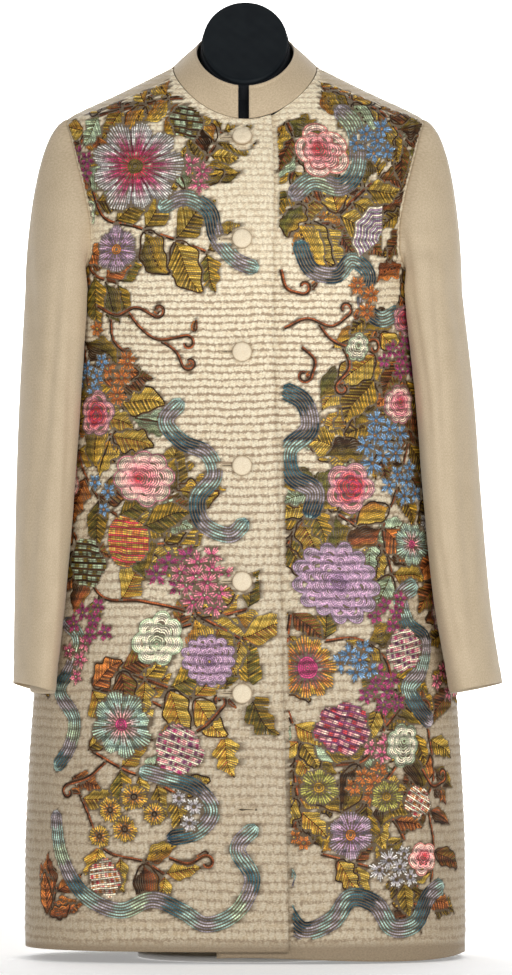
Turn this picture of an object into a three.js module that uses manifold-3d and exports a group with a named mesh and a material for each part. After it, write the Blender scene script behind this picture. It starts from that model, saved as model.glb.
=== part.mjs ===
// A knee-length evening coat with a band collar and six covered buttons, standing on a short display form.
// The two fronts are cut from a heavy horizontally ribbed cloth, and the right front laps over the left.
// The back, the sleeves and the collar are plain cloth. The form is a limbless torso with a slanted neck
// cap, carried by a short pole on a round base that the hem hides.
// Millimetres, +Z up, the front faces -Y, and the wearer's left is +X. Heights in the tables are measured
// from 10 mm below the base, and the whole is lowered by that at the end, so that the origin is the middle
// of the underside of the base.
import * as THREE from 'three';
import { mergeVertices } from 'three/addons/utils/BufferGeometryUtils.js';
import Module from 'manifold-3d';

const wasm = await Module();
wasm.setup();

// ---------- driving dimensions ----------
const CLOTH = 2.0; // wall of a cloth piece
const SEAM_GAP = 0.45; // between two pieces that are sewn together
const RIB = { pitch: 9.8, height: 0.9, hemBand: 12 };
const LAP = {
  edgeLow: 46, // the right front's free edge, across from the centre line, at the hem
  edgeHigh: 29, // and at the neck
  underLow: -30, // the left front's hidden edge at the hem
  underHigh: -27,
  drop: 4.0, // how far the left front lies inside where the right front covers it
  blend: 14, // distance over which the left front comes back out
};
const HEM = { right: 23, leftEdge: 17, leftDip: 5, back: 20 };
const SHOULDER = { tip: 906, neck: 960, seamAtTip: 12, seamAtNeck: 14.5 };
const ARMPIT = 732;
const SIDE_SEAM = THREE.MathUtils.degToRad(98); // measured round from the centre front
const NECKLINE = { front: 903, halfWidth: 77, turn: THREE.MathUtils.degToRad(100), shape: 1.7 };
const COLLAR = {
  cloth: 2.5,
  topFront: 939, topBack: 1000, topShape: 1.5,
  topHalfWidth: 52, topHalfDepth: 59, topMiddle: -6,
  rightEnd: -7.5, leftEnd: 4.3, // the two ends stop short of each other at the throat
};
const BUTTON = {
  radius: 10.7, height: 6.5, shankRadius: 1.4, across: -3,
  heights: [882, 774, 655, 535, 413, 295],
  holeLength: 25, holeHeight: 3.6, holeEnd: 3, // the hole ends this far past the shank
};
const SPARE_HOLE = { z: 173, end: 13, length: 18 }; // the lowest hole has no button
const CUFF_SLANT = 6; // the cuff is this much lower at its inner side and higher at its outer side
const NECK = {
  halfWidth: 47, halfDepth: 52, middle: -6, flare: 5, depth: 95,
  capFront: 939, capSlope: 0.88, capThickness: 5, capInset: 1.5,
};
const STAND = { floor: 10, poleRadius: 14, flangeRadius: 45, baseRadius: 115, baseHeight: 7 };

// Half width, depth to the front, depth to the back and squareness of the coat's outside, by height.
const BODY = [
  { z: 0, half: 235, front: 150, back: 140, power: 2.6 },
  { z: 120, half: 234.5, front: 148, back: 138, power: 2.55 },
  { z: 210, half: 231, front: 146, back: 136, power: 2.5 },
  { z: 285, half: 226, front: 144, back: 133, power: 2.45 },
  { z: 400, half: 216, front: 141, back: 127, power: 2.4 },
  { z: 552, half: 202, front: 135, back: 114, power: 2.35 },
  { z: 650, half: 193, front: 135, back: 109, power: 2.3 },
  { z: 720, half: 188, front: 135, back: 109, power: 2.3 },
  { z: 780, half: 188, front: 129, back: 110, power: 2.3 },
  { z: 830, half: 191, front: 115, back: 109, power: 2.3 },
  { z: 870, half: 194, front: 97, back: 103, power: 2.25 },
  { z: 900, half: 194, front: 79, back: 92, power: 2.2 },
  { z: 906, half: 190, front: 76, back: 89.5, power: 2.2 },
  { z: 914, half: 176, front: 72, back: 86, power: 2.15 },
  { z: 931, half: 139, front: 64, back: 78, power: 2.1 },
  { z: 948, half: 104, front: 53, back: 69, power: 2.1 },
  { z: 960, half: 80, front: 42, back: 63, power: 2.1 },
];

// Where the armhole's edge lies on the front and on the back, in degrees round from the centre front.
const ARMHOLE = [
  { z: 732, front: 98, back: 98 },
  { z: 734, front: 82, back: 101 },
  { z: 738, front: 69, back: 105 },
  { z: 746, front: 62.5, back: 109.5 },
  { z: 766, front: 58.4, back: 113 },
  { z: 787, front: 58.5, back: 113.3 },
  { z: 820, front: 61, back: 112 },
  { z: 862, front: 66.6, back: 109 },
  { z: 892, front: 74, back: 104 },
  { z: 903, front: 79.5, back: 97 },
  { z: 906, front: 82.2, back: 86 },
];

// Sleeve sections by height: inner and outer reach from the centre line, half depth, middle of the depth
// (negative is forwards) and lean in degrees, which turns the front of the section inwards.
const RIGHT_SLEEVE = [
  { z: 299, inner: 201, outer: 247, depth: 51, middle: -64, lean: 15 },
  { z: 392, inner: 190, outer: 246, depth: 54, middle: -58, lean: 18 },
  { z: 499, inner: 180, outer: 244.5, depth: 58, middle: -50, lean: 17 },
  { z: 606, inner: 171, outer: 241, depth: 62, middle: -40, lean: 15 },
  { z: 722, inner: 160, outer: 235, depth: 67, middle: -28, lean: 12 },
];
const LEFT_SLEEVE = [
  { z: 299, inner: 217, outer: 274, depth: 51, middle: -64, lean: 15 },
  { z: 392, inner: 200, outer: 261, depth: 54, middle: -58, lean: 16 },
  { z: 499, inner: 189, outer: 252, depth: 58, middle: -50, lean: 16 },
  { z: 606, inner: 180, outer: 244.5, depth: 62, middle: -40, lean: 14 },
  { z: 722, inner: 164, outer: 232, depth: 66, middle: -28, lean: 12 },
];

// The form's torso by height, up to where it follows the inside of the coat's shoulders.
const TORSO = [
  { z: 236, half: 150, front: 102, back: 102, power: 2.2 },
  { z: 244, half: 160, front: 108, back: 109, power: 2.25 },
  { z: 320, half: 167, front: 112, back: 116, power: 2.3 },
  { z: 400, half: 160, front: 108, back: 110, power: 2.3 },
  { z: 470, half: 141, front: 99, back: 97, power: 2.25 },
  { z: 540, half: 126, front: 94, back: 88, power: 2.2 },
  { z: 600, half: 130, front: 99, back: 88, power: 2.2 },
  { z: 660, half: 144, front: 112, back: 92, power: 2.2 },
  { z: 710, half: 156, front: 120, back: 97, power: 2.2 },
  { z: 760, half: 162, front: 118, back: 100, power: 2.2 },
  { z: 810, half: 168, front: 108, back: 101, power: 2.2 },
  { z: 850, half: 176, front: 97, back: 99, power: 2.2 },
];
const SHOULDER_REST = 1.5; // between the form's shoulders and the inside of the coat

// ---------- curves through a table ----------
// The value of a column at a height, on a smooth curve that never overshoots the rows.
function column(rows, name, z) {
  const last = rows.length - 1;
  if (z <= rows[0].z) return rows[0][name];
  if (z >= rows[last].z) return rows[last][name];
  const i = rows.findIndex((row) => row.z > z) - 1;
  const rise = (k) => (rows[k + 1][name] - rows[k][name]) / (rows[k + 1].z - rows[k].z);
  const slope = (k) => {
    if (k === 0) return rise(0);
    if (k === last) return rise(last - 1);
    const [a, b] = [rise(k - 1), rise(k)];
    return a * b <= 0 ? 0 : (2 * a * b) / (a + b);
  };
  const step = rows[i + 1].z - rows[i].z;
  const t = (z - rows[i].z) / step;
  return (
    rows[i][name] * (1 + 2 * t) * (1 - t) ** 2 +
    slope(i) * step * t * (1 - t) ** 2 +
    rows[i + 1][name] * t * t * (3 - 2 * t) +
    slope(i + 1) * step * t * t * (t - 1)
  );
}

const smooth = (t) => {
  const s = THREE.MathUtils.clamp(t, 0, 1);
  return s * s * (3 - 2 * s);
};

// ---------- the coat's outer surface ----------
// A point of a rounded section: round is measured from the centre front, towards the wearer's left.
function sectionPoint(rows, round, z) {
  const [half, power] = [column(rows, 'half', z), column(rows, 'power', z)];
  const [s, c] = [Math.sin(round), Math.cos(round)];
  const depth = column(rows, c > 0 ? 'front' : 'back', z);
  return new THREE.Vector3(
    half * Math.sign(s) * Math.abs(s) ** (2 / power),
    -depth * Math.sign(c) * Math.abs(c) ** (2 / power),
    z,
  );
}

// How far outside the section at its own height a point is: 1 on the surface.
function reach(rows, p, grow = 0) {
  const power = column(rows, 'power', p.z);
  const half = column(rows, 'half', p.z) + grow;
  const depth = column(rows, p.y < 0 ? 'front' : 'back', p.z) + grow;
  return (Math.abs(p.x) / half) ** power + (Math.abs(p.y) / depth) ** power;
}

// The outward normal of the surface at a point of it.
function normalAt(rows, p) {
  const e = 0.05;
  const slope = (axis) => {
    const [a, b] = [p.clone(), p.clone()];
    a[axis] -= e;
    b[axis] += e;
    return reach(rows, b) - reach(rows, a);
  };
  return new THREE.Vector3(slope('x'), slope('y'), slope('z')).normalize();
}

function coatPoint(round, z, lift = 0) {
  const p = sectionPoint(BODY, round, z);
  return p.addScaledVector(normalAt(BODY, p), lift);
}

// The angle at which the surface is a given distance across, on its front half.
function roundAt(across, z) {
  const share = Math.min(1, Math.abs(across) / column(BODY, 'half', z));
  return Math.sign(across) * Math.asin(share ** (column(BODY, 'power', z) / 2));
}

// ---------- outlines of the pieces ----------
const necklineRise = (turn) => {
  const back = Math.cos(NECKLINE.turn);
  const fall = ((Math.cos(turn) - back) / (1 - back)) ** NECKLINE.shape;
  return (SHOULDER.neck - NECKLINE.front) * (1 - fall);
};
const neckRound = (z) => {
  const back = Math.cos(NECKLINE.turn);
  const share = (SHOULDER.neck - z) / (SHOULDER.neck - NECKLINE.front);
  return Math.acos(back + (1 - back) * THREE.MathUtils.clamp(share, 0, 1) ** (1 / NECKLINE.shape));
};

// The shoulder seam lies a little in front of the ridge of the shoulder.
function seamRound(z, gap) {
  const t = (z - SHOULDER.tip) / (SHOULDER.neck - SHOULDER.tip);
  const forward = THREE.MathUtils.lerp(SHOULDER.seamAtTip, SHOULDER.seamAtNeck, t) + gap;
  const share = (forward / column(BODY, 'front', z)) ** (column(BODY, 'power', z) / 2);
  return Math.acos(share);
}

const armholeRound = (name, z) => THREE.MathUtils.degToRad(column(ARMHOLE, name, z));

// The outer edge of a front at a height: side seam, then armhole, then shoulder seam.
function frontOuterRound(z) {
  if (z >= SHOULDER.tip) return seamRound(z, SEAM_GAP / 2);
  return Math.min(SIDE_SEAM - SEAM_GAP / 140, armholeRound('front', z));
}

function backOuterRound(z) {
  if (z >= SHOULDER.tip) return seamRound(z, -SEAM_GAP / 2);
  return Math.max(SIDE_SEAM + SEAM_GAP / 140, armholeRound('back', z));
}

const upTheFront = (z) => (z - HEM.right) / (NECKLINE.front - HEM.right);
const lapEdge = (z) => THREE.MathUtils.lerp(LAP.edgeLow, LAP.edgeHigh, upTheFront(z));
const underEdge = (z) => THREE.MathUtils.lerp(LAP.underLow, LAP.underHigh, upTheFront(z));

// The edge of a front towards the opening at a height: free edge, then neckline. side is +1 for the left.
// The rows of the last millimetre below the neckline run out along the lap's top, from its corner inwards.
function frontInnerRound(z, side) {
  const below = NECKLINE.front - z;
  if (side < 0 && below >= 0 && below < 1) return roundAt(lapEdge(z) * below, z);
  if (z <= NECKLINE.front) return roundAt(side < 0 ? lapEdge(z) : underEdge(z), z);
  return side * roundAt(NECKLINE.halfWidth * Math.sin(neckRound(z)), z);
}

// The lapping corner of the right front follows the neckline of the left side.
function cornerRise(x, z) {
  if (x <= 0 || z > NECKLINE.front) return 0;
  const turn = Math.asin(x / NECKLINE.halfWidth);
  return necklineRise(turn) * smooth((z - NECKLINE.front + 45) / 45);
}

// The left front lies further in where it is covered.
const leftDrop = (x, z) => -LAP.drop * (1 - smooth((x - lapEdge(z) - 1) / LAP.blend));

// ---------- solids from grids of points ----------
class Solid {
  constructor() {
    this.positions = [];
    this.faces = [];
  }
  grid(rows) {
    return rows.map((row) => row.map((p) => this.positions.push(p.x, p.y, p.z) / 3 - 1));
  }
  skin(rows, closed, turned) {
    for (let i = 0; i + 1 < rows.length; i++) {
      const n = rows[i].length;
      for (let j = 0; j < (closed ? n : n - 1); j++) {
        const k = (j + 1) % n;
        const [a, b, c, d] = [rows[i][j], rows[i][k], rows[i + 1][k], rows[i + 1][j]];
        this.faces.push(...(turned ? [a, c, b, a, d, c] : [a, b, c, a, c, d]));
      }
    }
  }
  at(v) {
    return new THREE.Vector3().fromArray(this.positions, v * 3);
  }
  // Joins two lines of points that may differ in number, keeping pace with each other by share of length.
  strip(first, second, closed = false) {
    const [f, s] = closed ? [[...first, first[0]], [...second, second[0]]] : [first, second];
    const shares = (line) => {
      const run = [0];
      for (let i = 1; i < line.length; i++) {
        run.push(run[i - 1] + this.at(line[i]).distanceTo(this.at(line[i - 1])));
      }
      return run.map((length) => length / run.at(-1));
    };
    const [shareFirst, shareSecond] = [shares(f), shares(s)];
    let [i, k] = [0, 0];
    while (i + 1 < f.length || k + 1 < s.length) {
      if (k + 1 >= s.length || (i + 1 < f.length && shareFirst[i + 1] <= shareSecond[k + 1])) {
        this.faces.push(f[i], f[i + 1], s[k]);
        i += 1;
      } else {
        this.faces.push(s[k + 1], s[k], f[i]);
        k += 1;
      }
    }
  }
  cap(ring, turned) {
    const middle = new THREE.Vector3();
    for (const v of ring) middle.add(this.at(v));
    middle.divideScalar(ring.length);
    const [[centre]] = this.grid([[middle]]);
    ring.forEach((v, j) => {
      const next = ring[(j + 1) % ring.length];
      this.faces.push(...(turned ? [centre, next, v] : [centre, v, next]));
    });
  }
  geometry() {
    const made = new THREE.BufferGeometry();
    made.setAttribute('position', new THREE.Float32BufferAttribute(this.positions, 3));
    made.setIndex(this.faces);
    return made;
  }
}

// A cloth wall between two grids of points that have the same columns. A closed one is a tube.
function wall(outer, inner, closed = false) {
  const solid = new Solid();
  const [o, n] = [solid.grid(outer), solid.grid(inner)];
  solid.skin(o, closed, false);
  solid.skin(n, closed, true);
  solid.strip(o.at(-1), n.at(-1), closed);
  solid.strip([...o[0]].reverse(), [...n[0]].reverse(), closed);
  if (!closed) {
    solid.strip(o.map((row) => row[0]), n.map((row) => row[0]));
    solid.strip(o.map((row) => row.at(-1)).reverse(), n.map((row) => row.at(-1)).reverse());
  }
  return solid.geometry();
}

// A full solid through closed rings, from the lowest to the highest.
function loft(rings) {
  const solid = new Solid();
  const rows = solid.grid(rings);
  solid.skin(rows, true, false);
  solid.cap(rows[0], true);
  solid.cap(rows.at(-1), false);
  return solid.geometry();
}

// ---------- manifold cuts and joins ----------
function toManifold(geometry) {
  const plain = geometry.clone();
  plain.deleteAttribute('normal');
  plain.deleteAttribute('uv');
  const merged = mergeVertices(plain, 1e-4);
  return new wasm.Manifold(
    new wasm.Mesh({
      numProp: 3,
      vertProperties: merged.attributes.position.array,
      triVerts: new Uint32Array(merged.index.array),
    }),
  );
}

function fromManifold(manifold) {
  const { vertProperties, triVerts } = manifold.getMesh();
  const made = new THREE.BufferGeometry();
  made.setAttribute('position', new THREE.BufferAttribute(vertProperties, 3));
  made.setIndex(new THREE.BufferAttribute(triVerts, 1));
  return made;
}

// ---------- fronts ----------
// Rows at the ribs' furrows and crests, evenly spaced along the cloth of the panel's middle. A few more
// follow the corners of the armhole and of the neckline.
function ribRows(low, high) {
  const heights = [low];
  while (heights.at(-1) < high - RIB.pitch / 3) {
    const z = heights.at(-1);
    const middle = (frontInnerRound(z, 1) + frontOuterRound(z)) / 2;
    const tilt = normalAt(BODY, sectionPoint(BODY, middle, z)).z;
    heights.push(z + (RIB.pitch / 2) * Math.sqrt(1 - tilt * tilt));
  }
  heights[heights.length - 1] = high;
  const rows = heights.map((z, i) => ({ z, lift: i % 2 && z > low + RIB.hemBand ? RIB.height : 0 }));
  const corner = [-1, -0.75, -0.5, -0.25, 0, 0.4, 1.3, 2.8].map((rise) => NECKLINE.front + rise);
  for (const z of [ARMPIT, ARMPIT + 1.5, ...corner]) {
    const over = rows.findIndex((row) => row.z > z);
    const [a, b] = [rows[over - 1], rows[over]];
    rows.splice(over, 0, { z, lift: THREE.MathUtils.mapLinear(z, a.z, b.z, a.lift, b.lift) });
  }
  return rows;
}

// Heights of the plain rows that the inside of the fronts and the back share.
const PLAIN_ROWS = [
  70, 120, 170, 220, 270, 320, 370, 420, 470, 520, 570, 620, 670, 710, 732, 733.5, 738, 746, 760, 780,
  805, 830, 855, 875, 890, 899,
];

const FRONT_TOP = SHOULDER.neck - 3; // the panel is a few millimetres wide here
const hemOf = {
  right: () => HEM.right,
  // The left front hangs lower, most of all half way to its side seam.
  left: (share) => HEM.leftEdge - HEM.leftDip * Math.sin(Math.PI * Math.min(1, share * 1.25)),
};

// Columns keep their places from row to row, and crowd together where an edge of the piece cuts in on them.
function crowded(wanted, inner, outer) {
  const last = wanted.length - 1;
  const least = Math.min(0.02, (outer - inner) / last / 1.3);
  return wanted.map((round, j) => Math.max(inner + j * least, Math.min(round, outer - (last - j) * least)));
}

function front(name, side) {
  const columns = 8;
  const hem = hemOf[name];
  // Columns run towards the wearer's left. Those beside the lap follow it.
  const rounds = (z) => {
    const lap = lapEdge(z);
    const beside = (side > 0 ? [lap + 2, lap + 15] : [0, 35]).map((across) => roundAt(across, z));
    const [inner, outer] = [side * frontInnerRound(z, side), frontOuterRound(z)];
    const rest = Array.from({ length: columns - 2 }, (_, j) =>
      THREE.MathUtils.lerp(beside[1], SIDE_SEAM, (j + 1) / (columns - 2)));
    const placed = crowded([inner, ...beside, ...rest], inner, outer);
    return side > 0 ? placed : placed.reverse().map((round) => -round);
  };
  const row = (z, lift, isHem) =>
    rounds(z).map((round) => {
      const { x } = sectionPoint(BODY, round, z);
      const height = (isHem ? hem(Math.abs(round) / SIDE_SEAM) : z) + (side < 0 ? cornerRise(x, z) : 0);
      return coatPoint(round, height, lift + (side > 0 ? leftDrop(x, z) : 0));
    });
  const rows = ribRows(HEM.right, FRONT_TOP);
  const outerRows = rows.map(({ z, lift }, i) => row(z, lift, i === 0));
  const upper = rows.map(({ z }) => z).filter((z) => z >= NECKLINE.front);
  const inner = [HEM.right, ...PLAIN_ROWS, ...upper];
  const innerRows = inner.map((z, i) => row(z, -CLOTH, i === 0));
  return wall(outerRows, innerRows);
}

// ---------- back ----------
function back() {
  const columns = 12;
  const heights = [HEM.back, ...PLAIN_ROWS, 903, SHOULDER.tip + 1, 912, 920, 930, 940, 950, SHOULDER.neck];
  const wanted = Array.from({ length: columns + 1 }, (_, j) =>
    THREE.MathUtils.lerp(SIDE_SEAM, 2 * Math.PI - SIDE_SEAM, j / columns));
  const row = (z, lift) => {
    const start = backOuterRound(z);
    if (z > SHOULDER.tip) {
      const even = wanted.map((_, j) => THREE.MathUtils.lerp(start, 2 * Math.PI - start, j / columns));
      return even.map((round) => coatPoint(round, z, lift));
    }
    return crowded(wanted, start, 2 * Math.PI - start).map((round) => coatPoint(round, z, lift));
  };
  return wall(heights.map((z) => row(z, 0)), heights.map((z) => row(z, -CLOTH)));
}

// ---------- collar ----------
// Points spaced evenly along a line.
function evenly(points, count, closed = false) {
  const line = new THREE.CurvePath();
  const all = closed ? [...points, points[0]] : points;
  all.slice(1).forEach((p, i) => line.add(new THREE.LineCurve3(all[i], p)));
  return Array.from({ length: closed ? count : count + 1 }, (_, i) => line.getPointAt(i / count));
}

// The neckline from one collar end round the nape to the other.
function necklineFrom(across, side) {
  const turnAt = Math.asin(Math.abs(across) / NECKLINE.halfWidth);
  const front = Array.from({ length: 25 }, (_, i) => {
    const turn = THREE.MathUtils.lerp(turnAt, NECKLINE.turn, i / 24);
    const z = NECKLINE.front + necklineRise(turn);
    return coatPoint(side * roundAt(NECKLINE.halfWidth * Math.sin(turn), z), z);
  });
  const seam = seamRound(SHOULDER.neck, 0);
  const nape = Array.from({ length: 25 }, (_, i) =>
    coatPoint(side * THREE.MathUtils.lerp(seam, Math.PI, i / 24), SHOULDER.neck));
  return [front, nape];
}

function collarTop(across, side) {
  const start = Math.asin(Math.abs(across) / COLLAR.topHalfWidth);
  const rim = Array.from({ length: 40 }, (_, i) => {
    const turn = THREE.MathUtils.lerp(start, Math.PI, i / 39);
    const fall = ((1 + Math.cos(turn)) / 2) ** COLLAR.topShape;
    return new THREE.Vector3(
      side * COLLAR.topHalfWidth * Math.sin(turn),
      COLLAR.topMiddle - COLLAR.topHalfDepth * Math.cos(turn),
      COLLAR.topBack - (COLLAR.topBack - COLLAR.topFront) * fall,
    );
  });
  return [rim];
}

function collar() {
  const columns = 22; // on each side
  const around = (make) => {
    const half = (end, side) => {
      const parts = make(end, side).map((part, _, all) => evenly(part, columns / all.length));
      return [...parts[0], ...parts.slice(1).flatMap((part) => part.slice(1))];
    };
    return [...half(COLLAR.leftEnd, 1), ...half(COLLAR.rightEnd, -1).reverse().slice(1)];
  };
  const [base, top] = [around(necklineFrom), around(collarTop)];
  const rows = 3;
  const outer = Array.from({ length: rows + 1 }, (_, i) =>
    base.map((p, j) => {
      const along = base[Math.min(j + 1, base.length - 1)].clone().sub(base[Math.max(j - 1, 0)]).normalize();
      const up = top[j].clone().sub(p);
      up.addScaledVector(along, -up.dot(along)).normalize();
      const onRib = RIB.height * Math.max(0, up.dot(normalAt(BODY, p)));
      const foot = p.clone().addScaledVector(up, SEAM_GAP * 2.5 + onRib);
      return foot.lerp(top[j], i / rows);
    }));
  const inner = outer.map((row, i) =>
    row.map((p, j) => {
      const n = row.length;
      const across = row[Math.min(j + 1, n - 1)].clone().sub(row[Math.max(j - 1, 0)]);
      const up = outer[Math.min(i + 1, rows)][j].clone().sub(outer[Math.max(i - 1, 0)][j]);
      return p.clone().addScaledVector(across.cross(up).normalize(), -COLLAR.cloth);
    }));
  return wall(outer, inner);
}

// ---------- sleeves ----------
function armholeLoop(side) {
  const heights = ARMHOLE.slice(1).flatMap(({ z }, i) =>
    [0, 0.25, 0.5, 0.75].map((t) => THREE.MathUtils.lerp(ARMHOLE[i].z, z, t)));
  const edge = (name) => (z) => coatPoint(side * armholeRound(name, z), z);
  return [...heights.map(edge('front')).reverse(), ...heights.slice(1).map(edge('back'))];
}

// A point of a sleeve section: turn runs from the outside over the front to the inside and the back.
function sleeveSection(rows, side, turn, z) {
  const [inner, outer] = [column(rows, 'inner', z), column(rows, 'outer', z)];
  const lean = THREE.MathUtils.degToRad(column(rows, 'lean', z));
  const long = column(rows, 'depth', z);
  const short = Math.sqrt(((outer - inner) / 2) ** 2 - (long * Math.sin(lean)) ** 2) / Math.cos(lean);
  const [a, b] = [long * Math.sin(turn), short * Math.cos(turn)];
  return new THREE.Vector3(
    side * ((inner + outer) / 2 - a * Math.sin(lean) + b * Math.cos(lean)),
    column(rows, 'middle', z) - a * Math.cos(lean) - b * Math.sin(lean),
    z,
  );
}

// Moves a point out of the coat's body to stand clear of it.
function clearOfBody(p, gap) {
  const r = reach(BODY, p, gap);
  if (r >= 1 || p.z > 790) return p;
  const grow = r ** (-1 / column(BODY, 'power', p.z));
  return new THREE.Vector3(p.x * grow, p.y * grow, p.z);
}

function sleeve(rows, side) {
  const around = 24;
  const loop = evenly(armholeLoop(side), around, true);
  const capSteps = [0, 0.04, 0.13, 0.27, 0.46, 0.72];
  const heights = [722, 675, 625, 570, 510, 450, 400, 350, 299];
  const bodyGap = RIB.height + 2.8;
  const outer = [...capSteps, ...heights].map((step, i) =>
    loop.map((start, j) => {
      const turn = (2 * Math.PI * j) / around;
      if (i < capSteps.length) {
        // A cubic from the armhole, leaving it outwards, to the first full section, reaching it downwards.
        const end = sleeveSection(rows, side, turn, heights[0]);
        const span = end.distanceTo(start);
        const fall = -0.15 - 0.2 * Math.cos(turn);
        const out = new THREE.Vector3(side * 0.9, -0.75 * Math.sin(turn), fall).normalize();
        const t = step;
        const offRibs = SEAM_GAP * (3.4 + 3.4 * Math.max(0, Math.sin(turn + 0.8)));
        const p = start.clone().addScaledVector(out, offRibs).multiplyScalar((1 + 2 * t) * (1 - t) ** 2);
        p.addScaledVector(out, 0.53 * span * t * (1 - t) ** 2);
        p.addScaledVector(end, t * t * (3 - 2 * t));
        p.z -= 0.8 * span * t * t * (t - 1);
        return clearOfBody(p, bodyGap * Math.min(1, t / 0.04));
      }
      const p = sleeveSection(rows, side, turn, step);
      if (step === heights.at(-1)) p.z += CUFF_SLANT * Math.cos(turn);
      return clearOfBody(p, bodyGap);
    }));
  const inner = outer.map((row, i) =>
    row.map((p, j) => {
      const across = row[(j + 1) % around].clone().sub(row[(j - 1 + around) % around]);
      const down = outer[Math.min(i + 1, outer.length - 1)][j].clone().sub(outer[Math.max(i - 1, 0)][j]);
      return p.clone().addScaledVector(across.cross(down).normalize(), side * CLOTH);
    }));
  // Rows run downwards and turn runs clockwise on the wearer's left, so the order is set for outward faces.
  const order = (grid) => [...grid].reverse().map((row) => (side > 0 ? row : [...row].reverse()));
  return wall(order(outer), order(inner), true);
}

// ---------- buttons ----------
function buttonProfile() {
  const { radius, height, shankRadius } = BUTTON;
  const dome = Array.from({ length: 4 }, (_, i) => {
    const t = ((i + 1) / 4) * (Math.PI / 2);
    return new THREE.Vector2(radius * Math.cos(t) ** 0.6, height * 0.35 + height * 0.65 * Math.sin(t));
  });
  return [
    new THREE.Vector2(shankRadius, 0.8),
    new THREE.Vector2(radius * 0.8, 0.8),
    new THREE.Vector2(radius, height * 0.35),
    ...dome,
  ];
}

// Where a button stands: on the crests of the right front's ribs, square to the cloth.
function buttonSeat(z) {
  const round = roundAt(BUTTON.across, z);
  const on = coatPoint(round, z, RIB.height);
  return { on, out: normalAt(BODY, sectionPoint(BODY, round, z)) };
}

function button() {
  const down = -(RIB.height + CLOTH + 1.25); // the shank goes through the hole towards the left front
  const shank = [new THREE.Vector2(0, down), new THREE.Vector2(BUTTON.shankRadius, down)];
  const points = [...shank, ...buttonProfile()];
  points[points.length - 1].x = 0;
  return new THREE.LatheGeometry(points, 10);
}

function buttonHoles(geometry) {
  const used = BUTTON.heights.map((z) => ({ z, end: BUTTON.holeEnd, length: BUTTON.holeLength }));
  const cutters = [...used, SPARE_HOLE].map(({ z, end, length }) => {
    const { on, out } = buttonSeat(z);
    const slot = new THREE.BoxGeometry(length, 3 * CLOTH + 4, BUTTON.holeHeight);
    slot.translate(end - length / 2, 0, 0);
    slot.applyQuaternion(new THREE.Quaternion().setFromUnitVectors(new THREE.Vector3(0, -1, 0), out));
    slot.translate(on.x, on.y, on.z);
    return toManifold(slot);
  });
  return fromManifold(cutters.reduce((cloth, cutter) => cloth.subtract(cutter), toManifold(geometry)));
}

// ---------- the form and its stand ----------
function ring(count, make) {
  return Array.from({ length: count }, (_, j) => make((2 * Math.PI * j) / count));
}

function torso() {
  const around = 24;
  const low = [236, 239, 244, 280, 320, 360, 400, 450, 500, 540, 580, 620, 660, 700, 735, 770, 810, 850];
  const rest = CLOTH + SHOULDER_REST;
  const rings = low.map((z) => ring(around, (round) => sectionPoint(TORSO, round, z)));
  for (const z of [905, 910, 919, 929, 940, 950])
    rings.push(ring(around, (round) => {
      const p = coatPoint(round, z, -rest - LAP.drop * smooth(Math.cos(round) * 1.6 - 0.6));
      return z === 905 ? new THREE.Vector3(p.x * 0.97, p.y * 0.97, p.z - 4) : p;
    }));
  return loft(rings);
}

const capPlane = (y) => NECK.capFront + NECK.capSlope * (y - (NECK.middle - NECK.halfDepth));

// A slanted neck: every ring is parallel to the cap, and it widens downwards.
function neckRing(below, grow) {
  return ring(24, (round) => {
    const x = (NECK.halfWidth + grow) * Math.sin(round);
    const y = NECK.middle - (NECK.halfDepth + grow) * Math.cos(round);
    return new THREE.Vector3(x, y, capPlane(y) - below);
  });
}

function formBody() {
  const { depth, flare } = NECK;
  const neck = [[depth, flare], [50, flare * 0.8], [25, flare * 0.45], [6, 0.5], [1.5, 0], [0, -1.5]];
  const neckSolid = toManifold(loft(neck.map(([below, grow]) => neckRing(below, grow))));
  return fromManifold(toManifold(torso()).add(neckSolid));
}

function neckCap() {
  const { capInset: inset, capThickness: thick } = NECK;
  const steps = [[-SEAM_GAP, -inset - 0.8], [-1.2, -inset], [1 - thick, -inset], [-thick, -inset - 2.5]];
  return loft(steps.map(([below, grow]) => neckRing(below, grow)));
}

function lathe(points, segments) {
  const profile = points.map(([r, h]) => new THREE.Vector2(r, h));
  return new THREE.LatheGeometry(profile, segments).rotateX(Math.PI / 2);
}

function standPole() {
  const { floor, poleRadius: r, flangeRadius: f, baseHeight } = STAND;
  const [foot, head] = [floor + baseHeight + SEAM_GAP, TORSO[0].z - SEAM_GAP];
  return lathe([[0, foot], [32, foot], [32, foot + 5], [r + 4, foot + 9], [r, foot + 16], [r, head - 16],
    [r + 6, head - 8], [f, head - 5], [f, head], [0, head]], 18);
}

function standBase() {
  const { floor, baseRadius: r, baseHeight: h } = STAND;
  const top = floor + h;
  return lathe([[0, floor], [r - 2, floor], [r, floor + 2], [r, top - 2.5], [r - 4, top], [0, top]], 28);
}

// ---------- the object ----------
const ribbedCloth = new THREE.MeshStandardMaterial({ color: 0xd9c9a4, roughness: 0.55, metalness: 0.1 });
const plainCloth = new THREE.MeshStandardMaterial({ color: 0xcdb795, roughness: 0.8, metalness: 0 });
const formJersey = new THREE.MeshStandardMaterial({ color: 0x16191c, roughness: 0.75, metalness: 0 });
const capLacquer = new THREE.MeshStandardMaterial({ color: 0x20262a, roughness: 0.45, metalness: 0 });
const standPaint = new THREE.MeshStandardMaterial({ color: 0xe9e7e2, roughness: 0.5, metalness: 0 });

const object = new THREE.Group();
const standing = new THREE.Group();
standing.position.z = -STAND.floor;
object.add(standing);
const add = (name, geometry, material) => {
  const mesh = new THREE.Mesh(geometry, material);
  mesh.name = name;
  standing.add(mesh);
  return mesh;
};

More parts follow.
